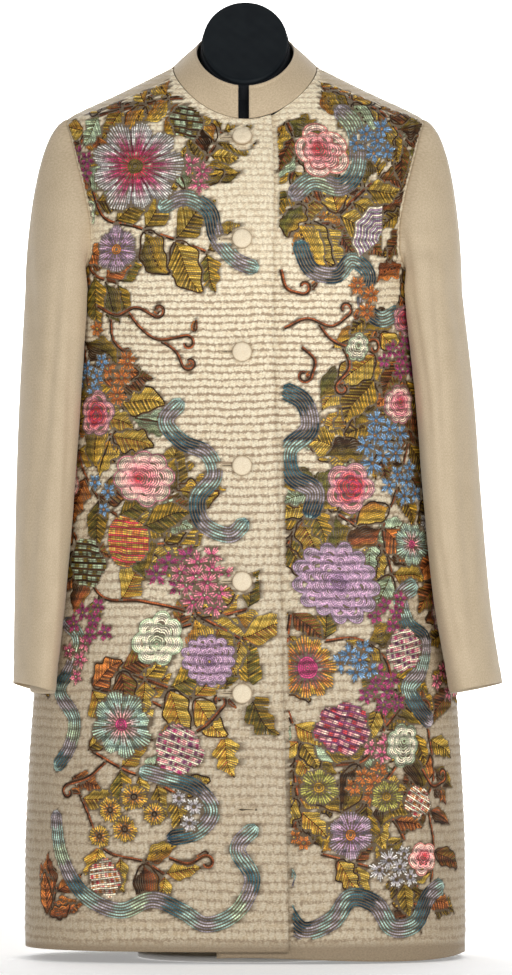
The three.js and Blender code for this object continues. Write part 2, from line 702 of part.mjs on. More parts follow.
add('right_front', buttonHoles(front('right', -1)), ribbedCloth);
add('left_front', front('left', 1), ribbedCloth);
add('back', back(), plainCloth);
add('collar', collar(), plainCloth);
add('right_sleeve', sleeve(RIGHT_SLEEVE, -1), plainCloth);
add('left_sleeve', sleeve(LEFT_SLEEVE, 1), plainCloth);
BUTTON.heights.forEach((z, i) => {
  const { on, out } = buttonSeat(z);
  const mesh = add(`button_${i + 1}`, button(), plainCloth);
  mesh.position.copy(on);
  mesh.quaternion.setFromUnitVectors(new THREE.Vector3(0, 1, 0), out);
});
add('form_torso', formBody(), formJersey);
add('neck_cap', neckCap(), capLacquer);
add('stand_pole', standPole(), standPaint);
add('stand_base', standBase(), standPaint);

export default object;
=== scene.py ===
import math

import bpy
import numpy as np
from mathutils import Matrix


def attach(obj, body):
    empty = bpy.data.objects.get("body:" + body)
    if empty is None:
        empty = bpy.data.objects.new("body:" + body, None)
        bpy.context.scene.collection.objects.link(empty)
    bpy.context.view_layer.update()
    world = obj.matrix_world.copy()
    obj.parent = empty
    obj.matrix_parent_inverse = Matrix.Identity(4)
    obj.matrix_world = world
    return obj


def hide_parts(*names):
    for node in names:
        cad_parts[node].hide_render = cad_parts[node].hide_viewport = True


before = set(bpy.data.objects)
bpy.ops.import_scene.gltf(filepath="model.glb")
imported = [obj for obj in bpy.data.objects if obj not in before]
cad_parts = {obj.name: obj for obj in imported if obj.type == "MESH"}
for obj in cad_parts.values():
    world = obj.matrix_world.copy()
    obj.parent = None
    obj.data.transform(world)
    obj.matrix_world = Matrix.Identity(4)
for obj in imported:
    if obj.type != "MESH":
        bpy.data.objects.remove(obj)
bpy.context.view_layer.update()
print("frame loaded")

# Sizes shared by the pieces, in millimetres; heights are from 10 mm below the base.
floorDrop = 10.0
body = {
    "z": [0, 120, 210, 285, 400, 552, 650, 720, 780, 830, 870, 900, 906, 914, 931, 948, 960],
    "half": [235, 234.5, 231, 226, 216, 202, 193, 188, 188, 191, 194, 194, 190, 176, 139, 104, 80],
    "front": [150, 148, 146, 144, 141, 135, 135, 135, 129, 115, 97, 79, 76, 72, 64, 53, 42],
    "back": [140, 138, 136, 133, 127, 114, 109, 109, 110, 109, 103, 92, 89.5, 86, 78, 69, 63],
    "power": [2.6, 2.55, 2.5, 2.45, 2.4, 2.35, 2.3, 2.3, 2.3, 2.3, 2.25, 2.2, 2.2, 2.15, 2.1, 2.1, 2.1],
}
armhole = {
    "z": [732, 734, 738, 746, 766, 787, 820, 862, 892, 903, 906],
    "front": [98, 82, 69, 62.5, 58.4, 58.5, 61, 66.6, 74, 79.5, 82.2],
    "back": [98, 101, 105, 109.5, 113, 113.3, 112, 109, 104, 97, 86],
}
hemRight = 23.0
neckFront = 903.0
neckShoulder = 960.0
neckHalf = 77.0
neckTurn = math.radians(100)
neckPower = 1.7
shoulderTip = 906.0
shoulderSeam = {"forward": 12, "more": 2.5, "gap": 0.2}  # forward of the ridge, with more at the neck
sideSeam = math.radians(98)
sideGap = 0.002  # radians
plainStrip = {"tip": 5, "neck": 16, "lowest": 893}
lap = {"edgeLow": 46, "edgeHigh": 29, "underLow": -30, "underHigh": -27, "drop": 4.0, "blend": 14}
buttons = {
    "heights": [882, 774, 655, 535, 413, 295], "spareHole": [173], "across": -3,
    "slot": (-26, -1), "spareSlot": (-8, 10), "slotHalf": 1.2,
}


# A table's column at heights z: a cubic from row to row, with the harmonic mean of the rises beside a row
# as its slope there.
def column(table, name, z):
    rowZ = np.asarray(table["z"], float)
    value = np.asarray(table[name], float)
    rise = np.diff(value) / np.diff(rowZ)
    product = rise[:-1] * rise[1:]
    total = rise[:-1] + rise[1:]
    middle = np.where(product > 0, 2 * product / np.where(total == 0, 1, total), 0)
    slope = np.concatenate([rise[:1], middle, rise[-1:]])
    z = np.clip(z, rowZ[0], rowZ[-1])
    i = np.clip(np.searchsorted(rowZ, z, side="right") - 1, 0, len(rowZ) - 2)
    step = rowZ[i + 1] - rowZ[i]
    t = (z - rowZ[i]) / step
    start = value[i] * (1 + 2 * t) * (1 - t) ** 2 + slope[i] * step * t * (1 - t) ** 2
    return start + value[i + 1] * t * t * (3 - 2 * t) + slope[i + 1] * step * t * t * (t - 1)


# A smooth step from 0 to 1: 3t2 - 2t3 with t held between 0 and 1.
def easeStep(t):
    t = np.clip(t, 0, 1)
    return t * t * (3 - 2 * t)


# A point of a rounded section: |x/half|^power + |y/depth|^power = 1, turn measured from the centre front.
def sectionPoint(table, turn, z):
    s, c = np.sin(turn), np.cos(turn)
    share = 2 / column(table, "power", z)
    depth = np.where(c > 0, column(table, "front", z), column(table, "back", z))
    x = column(table, "half", z) * np.sign(s) * np.abs(s) ** share
    y = -depth * np.sign(c) * np.abs(c) ** share
    return np.stack(np.broadcast_arrays(x, y, z), -1)


# How far out a point lies: the left side of the section's equation, grown by a gap.
def reachOf(table, x, y, z, gap=0.0):
    power = column(table, "power", z)
    depth = np.where(y < 0, column(table, "front", z), column(table, "back", z)) + gap
    return (np.abs(x) / (column(table, "half", z) + gap)) ** power + (np.abs(y) / depth) ** power


# The outward normal: the gradient of the reach, from central differences.
def outwardOf(table, p):
    x, y, z = p[..., 0], p[..., 1], p[..., 2]
    e = 0.05
    slope = np.stack([
        reachOf(table, x + e, y, z) - reachOf(table, x - e, y, z),
        reachOf(table, x, y + e, z) - reachOf(table, x, y - e, z),
        reachOf(table, x, y, z + e) - reachOf(table, x, y, z - e),
    ], -1)
    return slope / np.linalg.norm(slope, axis=-1, keepdims=True)


# A point of the coat's surface, moved out along its normal by lift.
def onCoat(turn, z, lift=0.0):
    p = sectionPoint(body, turn, z)
    return p + outwardOf(body, p) * np.asarray(lift)[..., None]


# The turn at a distance across: the arcsine of (x / half)^(power / 2).
def turnAt(across, z):
    share = np.minimum(1, np.abs(across) / column(body, "half", z))
    return np.sign(across) * np.arcsin(share ** (column(body, "power", z) / 2))


# Runs are lengths round the cloth from the centre front. The table holds the turn at each run and height.
heightPitch = 6.0
runPitch = 3.0
runTableZ = np.arange(0, 962, heightPitch)
runTableRun = np.arange(0, 352, runPitch)
turns = np.linspace(0, math.radians(100), 300)
ring = sectionPoint(body, turns[None, :], runTableZ[:, None])
ringStep = np.linalg.norm(np.diff(ring, axis=1), axis=-1)
ringRun = np.concatenate([np.zeros((len(runTableZ), 1)), np.cumsum(ringStep, 1)], 1)
runTable = np.stack([np.interp(runTableRun, ringRun[i], turns) for i in range(len(runTableZ))])


# The turn at a run and height, read between the table's four nearest entries.
def turnAtRun(run, z):
    a = np.clip(z / heightPitch, 0, len(runTableZ) - 1.001)
    b = np.clip(np.abs(run) / runPitch, 0, len(runTableRun) - 1.001)
    i, j = a.astype(int), b.astype(int)
    u, v = a - i, b - j
    low = runTable[i, j] * (1 - v) + runTable[i, j + 1] * v
    high = runTable[i + 1, j] * (1 - v) + runTable[i + 1, j + 1] * v
    return np.sign(run) * (low * (1 - u) + high * u)


# How far the neckline rises from the throat: the rise falls from the shoulder to the throat with
# ((cos turn - cos end) / (1 - cos end))^1.7.
def neckRise(turn):
    end = math.cos(neckTurn)
    fall = np.clip((np.cos(turn) - end) / (1 - end), 0, 1) ** neckPower
    return (neckShoulder - neckFront) * (1 - fall)


# The neckline's distance across at a height, from the same curve turned round.
def neckAcross(z):
    end = math.cos(neckTurn)
    share = np.clip((neckShoulder - z) / (neckShoulder - neckFront), 0, 1)
    return neckHalf * np.sin(np.arccos(end + (1 - end) * share ** (1 / neckPower)))


# The shoulder seam's turn, where the section stands as far forward of the ridge as the seam does.
def seamTurn(z, gap=0.0):
    t = (z - shoulderTip) / (neckShoulder - shoulderTip)
    share = (shoulderSeam["forward"] + shoulderSeam["more"] * t + gap) / column(body, "front", z)
    return np.arccos(np.clip(share, 0, 1) ** (column(body, "power", z) / 2))


# The outer edge of a front: side seam, then armhole, then shoulder seam.
def frontOuter(z):
    hole = np.radians(column(armhole, "front", z))
    seam = seamTurn(np.maximum(z, shoulderTip), shoulderSeam["gap"])
    return np.where(z >= shoulderTip, seam, np.minimum(sideSeam - sideGap, hole))


# The outer edge of the back, round the same seams.
def backOuter(z):
    hole = np.radians(column(armhole, "back", z))
    seam = seamTurn(np.maximum(z, shoulderTip), -shoulderSeam["gap"])
    return np.where(z >= shoulderTip, seam, np.maximum(sideSeam + sideGap, hole))


# 1 on the plain strip below the shoulder seam, whose height as seen from the front grows from tip to neck.
def shoulderStrip(x, z):
    share = np.clip((z - shoulderTip) / (neckShoulder - shoulderTip), 0, 1)
    high = plainStrip["tip"] + (plainStrip["neck"] - plainStrip["tip"]) * share
    return easeStep((np.abs(x) - column(body, "half", z + high) + 1) / 1.5) * (z > plainStrip["lowest"])


# A straight line up the front between an edge's lowest and highest place.
def edgeLine(low, high, z):
    return low + (high - low) * (np.minimum(z, neckFront) - hemRight) / (neckFront - hemRight)


# The right front's edge, as a distance across.
def lapEdge(z):
    return edgeLine(lap["edgeLow"], lap["edgeHigh"], z)


# Keeps columns in their places and crowds them where an edge cuts in on them.
def crowded(wanted, inner, outer):
    j = np.arange(wanted.shape[-1])
    last = len(j) - 1
    least = np.minimum(0.0012, (outer - inner) / last / 1.3)[:, None]
    return np.maximum(inner[:, None] + j * least, np.minimum(wanted, outer[:, None] - (last - j) * least))


# Points spaced evenly along a line of points.
def evenly(points, count, closed=False):
    line = np.vstack([points, points[:1]]) if closed else points
    run = np.concatenate([[0], np.cumsum(np.linalg.norm(np.diff(line, axis=0), axis=1))])
    at = np.linspace(0, run[-1], count, endpoint=not closed)
    return np.stack([np.interp(at, run, line[:, k]) for k in range(line.shape[1])], -1)


# Soft troughs (deep > 0) or ridges in a sheet: each is a Gaussian across a slanted line, tapered at
# both ends.
def creaseDepth(u, v, creases):
    total = np.zeros(np.broadcast(u, v).shape)
    for c in creases:
        along = (v - c["v"]) / c["long"]
        offset = u - c["u"] - c.get("slant", 0) * (v - c["v"]) - c.get("bow", 0) * along**2
        total -= c["deep"] * np.exp(-((offset / c["wide"]) ** 2)) * np.exp(-np.abs(along * 2) ** 2.6)
    return total


pieces = {}


# A mesh from points in mm and four-cornered faces, with an optional uv, point colour and point value.
def makeMesh(name, points, faces, uv=None, colour=None, values=None, smooth=True):
    mesh = bpy.data.meshes.new(name)
    placed = (points.reshape(-1, 3) - [0, 0, floorDrop]) * 0.001
    mesh.vertices.add(len(placed))
    mesh.vertices.foreach_set("co", placed.astype(np.float32).ravel())
    mesh.loops.add(faces.size)
    mesh.polygons.add(len(faces))
    mesh.polygons.foreach_set("loop_start", np.arange(0, faces.size, faces.shape[1], dtype=np.int32))
    mesh.polygons.foreach_set("loop_total", np.full(len(faces), faces.shape[1], dtype=np.int32))
    mesh.loops.foreach_set("vertex_index", faces.astype(np.int32).ravel())
    mesh.polygons.foreach_set("use_smooth", np.full(len(faces), smooth))
    if uv is not None:
        layer = mesh.uv_layers.new(name="cloth")
        layer.data.foreach_set("uv", uv.reshape(-1, 2)[faces.ravel()].astype(np.float32).ravel())
    if colour is not None:
        layer = mesh.color_attributes.new(name="thread", type="FLOAT_COLOR", domain="POINT")
        layer.data.foreach_set("color", np.c_[colour, np.ones(len(colour))].astype(np.float32).ravel())
    for key, value in (values or {}).items():
        layer = mesh.attributes.new(name=key, type="FLOAT", domain="POINT")
        layer.data.foreach_set("value", value.astype(np.float32).ravel())
    mesh.update(calc_edges=True)
    mesh.validate()
    piece = bpy.data.objects.new(name, mesh)
    bpy.context.scene.collection.objects.link(piece)
    pieces[name] = piece
    return piece


# The faces of a grid of rows and columns, its rows or columns joined round where wanted.
def gridFaces(rows, columns, closed=False, turned=False, looped=False):
    rowNumbers = np.arange(rows if looped else rows - 1)
    columnNumbers = np.arange(columns if closed else columns - 1)
    i, j = np.meshgrid(rowNumbers, columnNumbers, indexing="ij")
    k = (j + 1) % columns
    m = (i + 1) % rows
    corners = [i * columns + j, i * columns + k, m * columns + k, m * columns + j]
    return np.stack(corners[::-1] if turned else corners, -1).reshape(-1, 4)


# Gives a sheet of points the cloth's thickness, inwards.
def thicken(piece, thick):
    shell = piece.modifiers.new("cloth", "SOLIDIFY")
    shell.thickness = thick * 0.001
    shell.offset = -1


# Turns a profile of (radius, height) pairs round an axis.
def latheGrid(profile, count):
    turn = np.linspace(0, 2 * math.pi, count, endpoint=False)
    r, h = np.array(profile, float).T[:, :, None]
    return np.stack([r * np.cos(turn), r * np.sin(turn), h + 0 * turn], -1)


# A round tube along a path of points: a ring of sides about each point, across its direction.
def tubeGrid(path, radius, sides, outward):
    along = np.gradient(path, axis=0)
    along /= np.linalg.norm(along, axis=1, keepdims=True)
    side = np.cross(along, outward)
    side /= np.linalg.norm(side, axis=1, keepdims=True)
    up = np.cross(side, along)
    turn = np.linspace(0, 2 * math.pi, sides, endpoint=False)
    ringShape = np.cos(turn)[None, :, None] * side[:, None] + np.sin(turn)[None, :, None] * up[:, None]
    return path[:, None] + ringShape * np.asarray(radius).reshape(-1, 1, 1)


# The fronts: their ribs' pitch at each height, the ribs' shape, and the cloth's grid.
ribTable = {
    "z": [0, 300, 450, 560, 650, 850, 905, 960],
    "pitch": [10.4, 9.8, 9.2, 8.2, 7.5, 7.3, 6.0, 4.6],
}
ribShape = {"height": 0.9, "bead": 7.6, "pinch": 0.22, "chestPinch": 0.4, "chest": 745, "plainHem": 6}
frontCloth = {"rows": 385, "columns": 96, "thick": 1.6, "topDrop": 1.6, "calm": 34, "calmBlend": 30}
ribZ = np.arange(0, 962, 1.0)
ribCount = np.cumsum(1 / column(ribTable, "pitch", ribZ))


# The rib's number at a place, with a slow wander to left and right.
def ribPhase(run, z):
    wander = (
        0.10 * np.sin(run / 37 + z / 210)
        + 0.06 * np.sin(run / 13 + 1.7 + z / 90)
        + 0.04 * np.sin(run / 5.1 + z / 33)
    )
    return np.interp(z, ribZ, ribCount) + wander


# The ribbed cloth's height above its furrows: rounded crests, pinched into beads along each rib.
def ribLift(run, z):
    phase = ribPhase(run, z)
    crest = (0.5 + 0.5 * np.cos(2 * math.pi * phase)) ** 0.75
    number = np.round(phase)
    slip = np.sin(number * 12.9898) * 43.7
    bead = 0.5 + 0.5 * np.cos(run / ribShape["bead"] * 2 * math.pi + slip + 0.8 * np.sin(run / 21 + number))
    pinch = ribShape["pinch"] + ribShape["chestPinch"] * easeStep((z - ribShape["chest"]) / 60)
    flat = easeStep((z - hemRight - ribShape["plainHem"]) / 10)
    return ribShape["height"] * crest * (1 - pinch * (1 - bead)) * flat


frontCreases = [
    {"u": 150, "v": 640, "wide": 16, "long": 220, "deep": 2.2, "slant": 0.16},
    {"u": 196, "v": 420, "wide": 26, "long": 420, "deep": 2.6, "slant": -0.05},
    {"u": 120, "v": 250, "wide": 34, "long": 380, "deep": 1.8, "slant": -0.09},
    {"u": 232, "v": 180, "wide": 22, "long": 300, "deep": 2.4, "slant": -0.03},
    {"u": 132, "v": 770, "wide": 12, "long": 110, "deep": 1.4, "slant": 0.5},
    {"u": -128, "v": 600, "wide": 18, "long": 260, "deep": 2.0, "slant": -0.12},
    {"u": -188, "v": 380, "wide": 24, "long": 380, "deep": 2.8, "slant": 0.06},
    {"u": -96, "v": 190, "wide": 30, "long": 330, "deep": 1.6, "slant": 0.1},
    {"u": -240, "v": 210, "wide": 20, "long": 320, "deep": 2.2, "slant": 0.02},
    {"u": -138, "v": 776, "wide": 11, "long": 95, "deep": 1.2, "slant": -0.55},
]


# The fronts' creases, which fade out towards the centre front.
def frontCrease(run, z, across):
    calm = easeStep((np.abs(across) - frontCloth["calm"]) / frontCloth["calmBlend"])
    return creaseDepth(run, z, frontCreases) * calm


# The left front's way in behind the right one, and back out past its edge.
def lapDrop(across, z):
    return -lap["drop"] * (1 - easeStep((across - lapEdge(z) - 1) / lap["blend"]))


# The grid of a front: turns between its two edges, in rows about a quarter of a rib apart.
def frontGrid(side):
    columns = frontCloth["columns"]
    rows = np.linspace(hemRight, neckShoulder - frontCloth["topDrop"], frontCloth["rows"])
    slotEdges = [-buttons["slotHalf"], buttons["slotHalf"]]
    slotRows = np.add.outer(buttons["heights"] + buttons["spareHole"], slotEdges)
    neckRows = neckFront + np.array([-1, -0.75, -0.5, -0.25, 0, 0.4, 1.3, 2.8])
    z = np.unique(np.concatenate([rows, slotRows.ravel(), neckRows]))
    inner = turnAt(edgeLine(lap["underLow"], lap["underHigh"], z), z)
    if side < 0:
        below = neckFront - z
        inner = -turnAt(lapEdge(z) * np.where((below >= 0) & (below < 1), below, 1), z)
    inner = np.where(z > neckFront, turnAt(neckAcross(z), z), inner)
    outer = frontOuter(z)
    wanted = np.linspace(inner[0], sideSeam, columns)[None, :].repeat(len(z), 0)
    turn = side * crowded(wanted, inner, outer)
    zGrid = z[:, None].repeat(columns, 1)
    across = sectionPoint(body, turn, zGrid)[..., 0]
    if side < 0:
        lift = easeStep((zGrid - neckFront + 45) / 45)
        rise = neckRise(np.arcsin(np.clip(across / neckHalf, 0, 1))) * lift
        zGrid = zGrid + np.where((across > 0) & (zGrid <= neckFront), rise, 0)
    else:
        dip = 17 - 5 * np.sin(math.pi * np.minimum(1, np.abs(turn) / sideSeam * 1.25)) - hemRight
        zGrid = zGrid + dip * (1 - easeStep((zGrid - hemRight) / 60))
    return turn, zGrid, across


# The run of a turn at a height, read from the same lengths as the run table.
def runOf(turn, z):
    i = np.clip(np.round(z / heightPitch).astype(int), 0, len(runTableZ) - 1)
    j = np.clip(np.abs(turn) / turns[-1] * (len(turns) - 1), 0, len(turns) - 1.001)
    k = j.astype(int)
    return np.sign(turn) * (ringRun[i, k] * (1 - j + k) + ringRun[i, k + 1] * (j - k))


# Where a buttonhole's slot begins and ends, as distances across.
def slotEnds(height):
    return buttons["spareSlot"] if height in buttons["spareHole"] else buttons["slot"]


frontPlaces = {}


# A front: its grid on the coat's surface, lifted by ribs and creases, with the slots' faces left out.
def makeFront(name, side):
    turn, z, across = frontGrid(side)
    run = runOf(turn, z)
    strip = shoulderStrip(across, z)
    stripSeam = 0.5 * np.exp(-(((strip - 0.3) / 0.3) ** 2)) * (strip > 0.02)
    lift = ribLift(run, z) * (1 - strip) - stripSeam + frontCrease(run, z, across)
    if side > 0:
        lift = lift + lapDrop(across, z)
    points = onCoat(turn, z, lift)
    uv = np.stack([run / ribShape["bead"], ribPhase(run, z)], -1)
    faces = gridFaces(*turn.shape, turned=side < 0)
    if side < 0:
        middle = points.reshape(-1, 3)[faces].mean(1)
        for height in buttons["heights"] + buttons["spareHole"]:
            left, right = slotEnds(height)
            inSlot = np.abs(middle[:, 2] - height) < buttons["slotHalf"]
            inSlot &= (middle[:, 0] > left) & (middle[:, 0] < right)
            faces, middle = faces[~inSlot], middle[~inSlot]
    piece = makeMesh(name, points, faces, uv=uv, values={"strip": strip})
    thicken(piece, frontCloth["thick"])
    frontPlaces[name] = (run, z)
    return piece


makeFront("rightFront", -1)
makeFront("leftFront", 1)
print("fronts made")

# The back: its grid, how far its top edge is raised to the seam, and its creases.
backCloth = {
    "low": 20, "high": 955.5, "rows": 190, "columns": 121, "thick": 1.7, "raised": 4.2, "creases": 1.2,
}
backCreases = [
    {"u": 40, "v": 470, "wide": 22, "long": 520, "deep": 2.6, "slant": 0.02},
    {"u": 118, "v": 300, "wide": 30, "long": 420, "deep": 3.0, "slant": -0.05},
    {"u": 176, "v": 560, "wide": 18, "long": 260, "deep": 2.0, "slant": 0.08},
    {"u": -62, "v": 260, "wide": 34, "long": 430, "deep": 2.8, "slant": 0.04},
    {"u": -134, "v": 480, "wide": 20, "long": 330, "deep": 2.2, "slant": 0.03},
    {"u": -190, "v": 210, "wide": 26, "long": 300, "deep": 2.4, "slant": -0.02},
    {"u": 96, "v": 800, "wide": 16, "long": 130, "deep": 1.2, "slant": -0.4},
    {"u": -104, "v": 806, "wide": 15, "long": 120, "deep": 1.3, "slant": 0.42},
]


# The back: one sheet round from side seam to side seam, with creases and a pressed centre seam.
def makeBack():
    rows = np.linspace(backCloth["low"], backCloth["high"], backCloth["rows"])
    z = np.unique(np.concatenate([rows, [732, 733.5, shoulderTip]]))
    edge = backOuter(z)
    share = np.linspace(-1, 1, backCloth["columns"])
    wanted = math.pi + share[None, :] * (math.pi - np.minimum(edge, sideSeam)[:, None])
    turn = crowded(wanted, edge, 2 * math.pi - edge)
    zGrid = z[:, None].repeat(len(share), 1)
    zGrid = zGrid + backCloth["raised"] * easeStep((zGrid - 930) / 26)
    points = onCoat(turn, zGrid)
    run = (turn - math.pi) * 150
    crease = creaseDepth(run, zGrid, backCreases) * easeStep((1 - np.abs(share)) / 0.12)[None, :]
    seam = -1.1 * np.exp(-((run / 3.0) ** 2)) + 0.5 * np.exp(-(((np.abs(run) - 6.5) / 3.0) ** 2))
    points = points + outwardOf(body, points) * (backCloth["creases"] * crease + seam)[..., None]
    uv = np.stack([run, zGrid], -1) * 0.001
    piece = makeMesh("back", points, gridFaces(*turn.shape), uv=uv)
    thicken(piece, backCloth["thick"])


makeBack()

# The sleeves: the grid and the gap that their cloth keeps from the coat, then their sections and creases.
sleeveCloth = {
    "round": 132, "capRows": 45, "tubeRows": 150, "top": 722, "cuff": 299, "cuffDip": 6,
    "thick": 1.6, "offRibs": 2.8, "creases": 0.62, "fadeIn": 0.06,
}
sleeveTables = {
    "rightSleeve": {
        "z": [299, 392, 499, 606, 722], "inner": [201, 190, 180, 171, 160],
        "outer": [247, 246, 244.5, 241, 235],
        "depth": [51, 54, 58, 62, 67], "middle": [-64, -58, -50, -40, -28], "lean": [15, 18, 17, 15, 12],
    },
    "leftSleeve": {
        "z": [299, 392, 499, 606, 722], "inner": [217, 200, 189, 180, 164],
        "outer": [274, 261, 252, 244.5, 232],
        "depth": [51, 54, 58, 62, 66], "middle": [-64, -58, -50, -40, -28], "lean": [15, 16, 16, 14, 12],
    },
}
sleeveCreases = {
    "rightSleeve": [
        {"u": 62, "v": 640, "wide": 9, "long": 260, "deep": 3.4, "slant": 0.06},
        {"u": 100, "v": 600, "wide": 12, "long": 330, "deep": 3.6, "slant": -0.04},
        {"u": 36, "v": 470, "wide": 11, "long": 240, "deep": 2.6, "slant": 0.12},
        {"u": 84, "v": 410, "wide": 10, "long": 220, "deep": 2.4, "slant": -0.08},
        {"u": 16, "v": 720, "wide": 12, "long": 150, "deep": 2.2, "slant": -0.2},
        {"u": 58, "v": 505, "wide": 60, "long": 26, "deep": 1.8},
        {"u": 232, "v": 560, "wide": 14, "long": 300, "deep": 2.8, "slant": 0.05},
        {"u": 262, "v": 700, "wide": 12, "long": 170, "deep": 2.4, "slant": -0.1},
        {"u": 286, "v": 430, "wide": 13, "long": 240, "deep": 2.2, "slant": 0.03},
    ],
    "leftSleeve": [
        {"u": 66, "v": 620, "wide": 10, "long": 300, "deep": 3.6, "slant": -0.05},
        {"u": 104, "v": 660, "wide": 11, "long": 260, "deep": 3.2, "slant": 0.06},
        {"u": 72, "v": 766, "wide": 34, "long": 20, "deep": 3.2},
        {"u": 40, "v": 450, "wide": 12, "long": 260, "deep": 3.0, "slant": -0.1},
        {"u": 92, "v": 390, "wide": 10, "long": 200, "deep": 2.6, "slant": 0.1},
        {"u": 22, "v": 705, "wide": 13, "long": 170, "deep": 2.4, "slant": 0.16},
        {"u": 50, "v": 512, "wide": 55, "long": 24, "deep": 1.6},
        {"u": 240, "v": 540, "wide": 13, "long": 280, "deep": 2.6, "slant": -0.06},
        {"u": 270, "v": 690, "wide": 12, "long": 180, "deep": 2.6, "slant": 0.12},
        {"u": 292, "v": 410, "wide": 12, "long": 210, "deep": 2.0, "slant": 0.02},
    ],
}


# A point of a sleeve's section: an ellipse leaned in plan, its turn from the outside over the front.
def sleeveSection(table, side, turn, z):
    inner, outer = column(table, "inner", z), column(table, "outer", z)
    lean, long = np.radians(column(table, "lean", z)), column(table, "depth", z)
    short = np.sqrt(((outer - inner) / 2) ** 2 - (long * np.sin(lean)) ** 2) / np.cos(lean)
    a, b = long * np.sin(turn), short * np.cos(turn)
    x = side * ((inner + outer) / 2 - a * np.sin(lean) + b * np.cos(lean))
    y = column(table, "middle", z) - a * np.cos(lean) - b * np.sin(lean)
    return np.stack(np.broadcast_arrays(x, y, z), -1)


# Moves points outwards in plan until they stand a gap clear of the coat's body.
def clearOfBody(p, gap):
    reach = reachOf(body, p[..., 0], p[..., 1], p[..., 2], gap)
    grow = np.maximum(reach, 1e-6) ** (-1 / column(body, "power", p[..., 2]))
    grow = np.where((reach < 1) & (p[..., 2] <= 790), grow, 1)
    return p * np.stack([grow, grow, np.ones_like(grow)], -1)


# The cap runs from the armhole to the first full section on a cubic that leaves outwards and arrives
# downwards; below it the tube follows the sections to the cuff.
def makeSleeve(name, side):
    table, count = sleeveTables[name], sleeveCloth["round"]
    spans = zip(armhole["z"], armhole["z"][1:])
    heights = np.unique(np.concatenate([np.linspace(a, b, 9) for a, b in spans]))
    edges = [onCoat(side * np.radians(column(armhole, key, heights)), heights) for key in ("front", "back")]
    loop = evenly(np.vstack([edges[0][::-1], edges[1][1:]]), count, True)
    turn = np.arange(count) / count * 2 * math.pi
    gap = ribShape["height"] + sleeveCloth["offRibs"]
    t = np.linspace(0, 1, sleeveCloth["capRows"])[:-1, None, None] ** 1.25
    end = sleeveSection(table, side, turn, float(sleeveCloth["top"]))
    span = np.linalg.norm(end - loop, axis=-1)[:, None]
    out = np.stack([side * 0.9 + 0 * turn, -0.75 * np.sin(turn), -0.15 - 0.2 * np.cos(turn)], -1)
    out /= np.linalg.norm(out, axis=-1, keepdims=True)
    offRibs = (0.45 * (3.4 + 3.4 * np.maximum(0, np.sin(turn + 0.8))))[:, None]
    cap = (loop + out * offRibs) * (1 + 2 * t) * (1 - t) ** 2 + out * 0.53 * span * t * (1 - t) ** 2
    cap = cap + end * t * t * (3 - 2 * t) - [0, 0, 0.8] * span * t * t * (t - 1)
    cap = clearOfBody(cap, gap * np.minimum(1, t[..., 0] / 0.04))
    low = np.linspace(sleeveCloth["top"], sleeveCloth["cuff"], sleeveCloth["tubeRows"])[:, None]
    tube = sleeveSection(table, side, turn[None, :], low)
    tube[..., 2] += sleeveCloth["cuffDip"] * np.cos(turn)[None, :] * easeStep((360 - low) / 61)
    points = np.vstack([cap, clearOfBody(tube, gap)])
    normal = np.cross(np.roll(points, -1, 1) - np.roll(points, 1, 1), np.gradient(points, axis=0))
    normal /= np.linalg.norm(normal, axis=-1, keepdims=True) * -side
    outward = points - points.mean(1, keepdims=True)
    normal *= np.sign((normal * outward).sum(-1, keepdims=True).mean() + 1e-9)
    u = (turn / (2 * math.pi) * 360)[None, :]
    z = points[..., 2]
    fadeIn = np.linspace(0, 1, len(points)).reshape(-1, 1).clip(0, sleeveCloth["fadeIn"])
    crease = sleeveCloth["creases"] * creaseDepth(u, z, sleeveCreases[name]) * fadeIn / sleeveCloth["fadeIn"]
    hem = 0.5 * np.exp(-(((z - 302) / 3) ** 2)) - 0.5 * np.exp(-(((z - 325) / 2.5) ** 2))
    away = clearOfBody(points + normal * (crease + hem)[..., None], gap - 0.8)
    points = np.where(np.arange(len(points))[:, None, None] < 3, points, away)
    points = np.vstack([(loop - outwardOf(body, loop) * 1.0)[None], points])
    uv = np.stack([np.broadcast_to(u, points.shape[:2]), points[..., 2]], -1) * 0.001
    piece = makeMesh(name, points, gridFaces(*points.shape[:2], closed=True, turned=side < 0), uv=uv)
    thicken(piece, sleeveCloth["thick"])


makeSleeve("rightSleeve", -1)
makeSleeve("leftSleeve", 1)
print("back and sleeves made")

# The collar: its thickness, its rim's heights and ellipse, where its ends stand, and its grid.
collarShape = {
    "cloth": 2.3, "topFront": 939, "topBack": 1000, "shape": 1.5, "halfWidth": 52, "halfDepth": 59,
    "middle": -6,
    "rightEnd": -7.5, "leftEnd": 4.3, "rows": 26, "columns": 90,
}


# Half the collar's foot: the neckline from its end to the shoulder, then along the nape.
def collarFoot(across, side, count):
    turn = np.linspace(math.asin(abs(across) / neckHalf), neckTurn, 60)
    z = neckFront + neckRise(turn)
    front = onCoat(side * turnAt(neckHalf * np.sin(turn), z), z)
    seam = float(seamTurn(np.array(neckShoulder)))
    nape = onCoat(side * np.linspace(seam, math.pi, 40), np.full(40, neckShoulder))
    return np.vstack([evenly(front, count // 2), evenly(nape, count // 2)[1:]])


# Half the collar's rim: an ellipse in plan, its height falling to the front with ((1 + cos turn) / 2)^1.5.
def collarRim(across, side, count):
    turn = np.linspace(math.asin(abs(across) / collarShape["halfWidth"]), math.pi, 90)
    fall = ((1 + np.cos(turn)) / 2) ** collarShape["shape"]
    rim = np.stack([
        side * collarShape["halfWidth"] * np.sin(turn),
        collarShape["middle"] - collarShape["halfDepth"] * np.cos(turn),
        collarShape["topBack"] - (collarShape["topBack"] - collarShape["topFront"]) * fall,
    ], -1)
    return evenly(rim, count - 1)


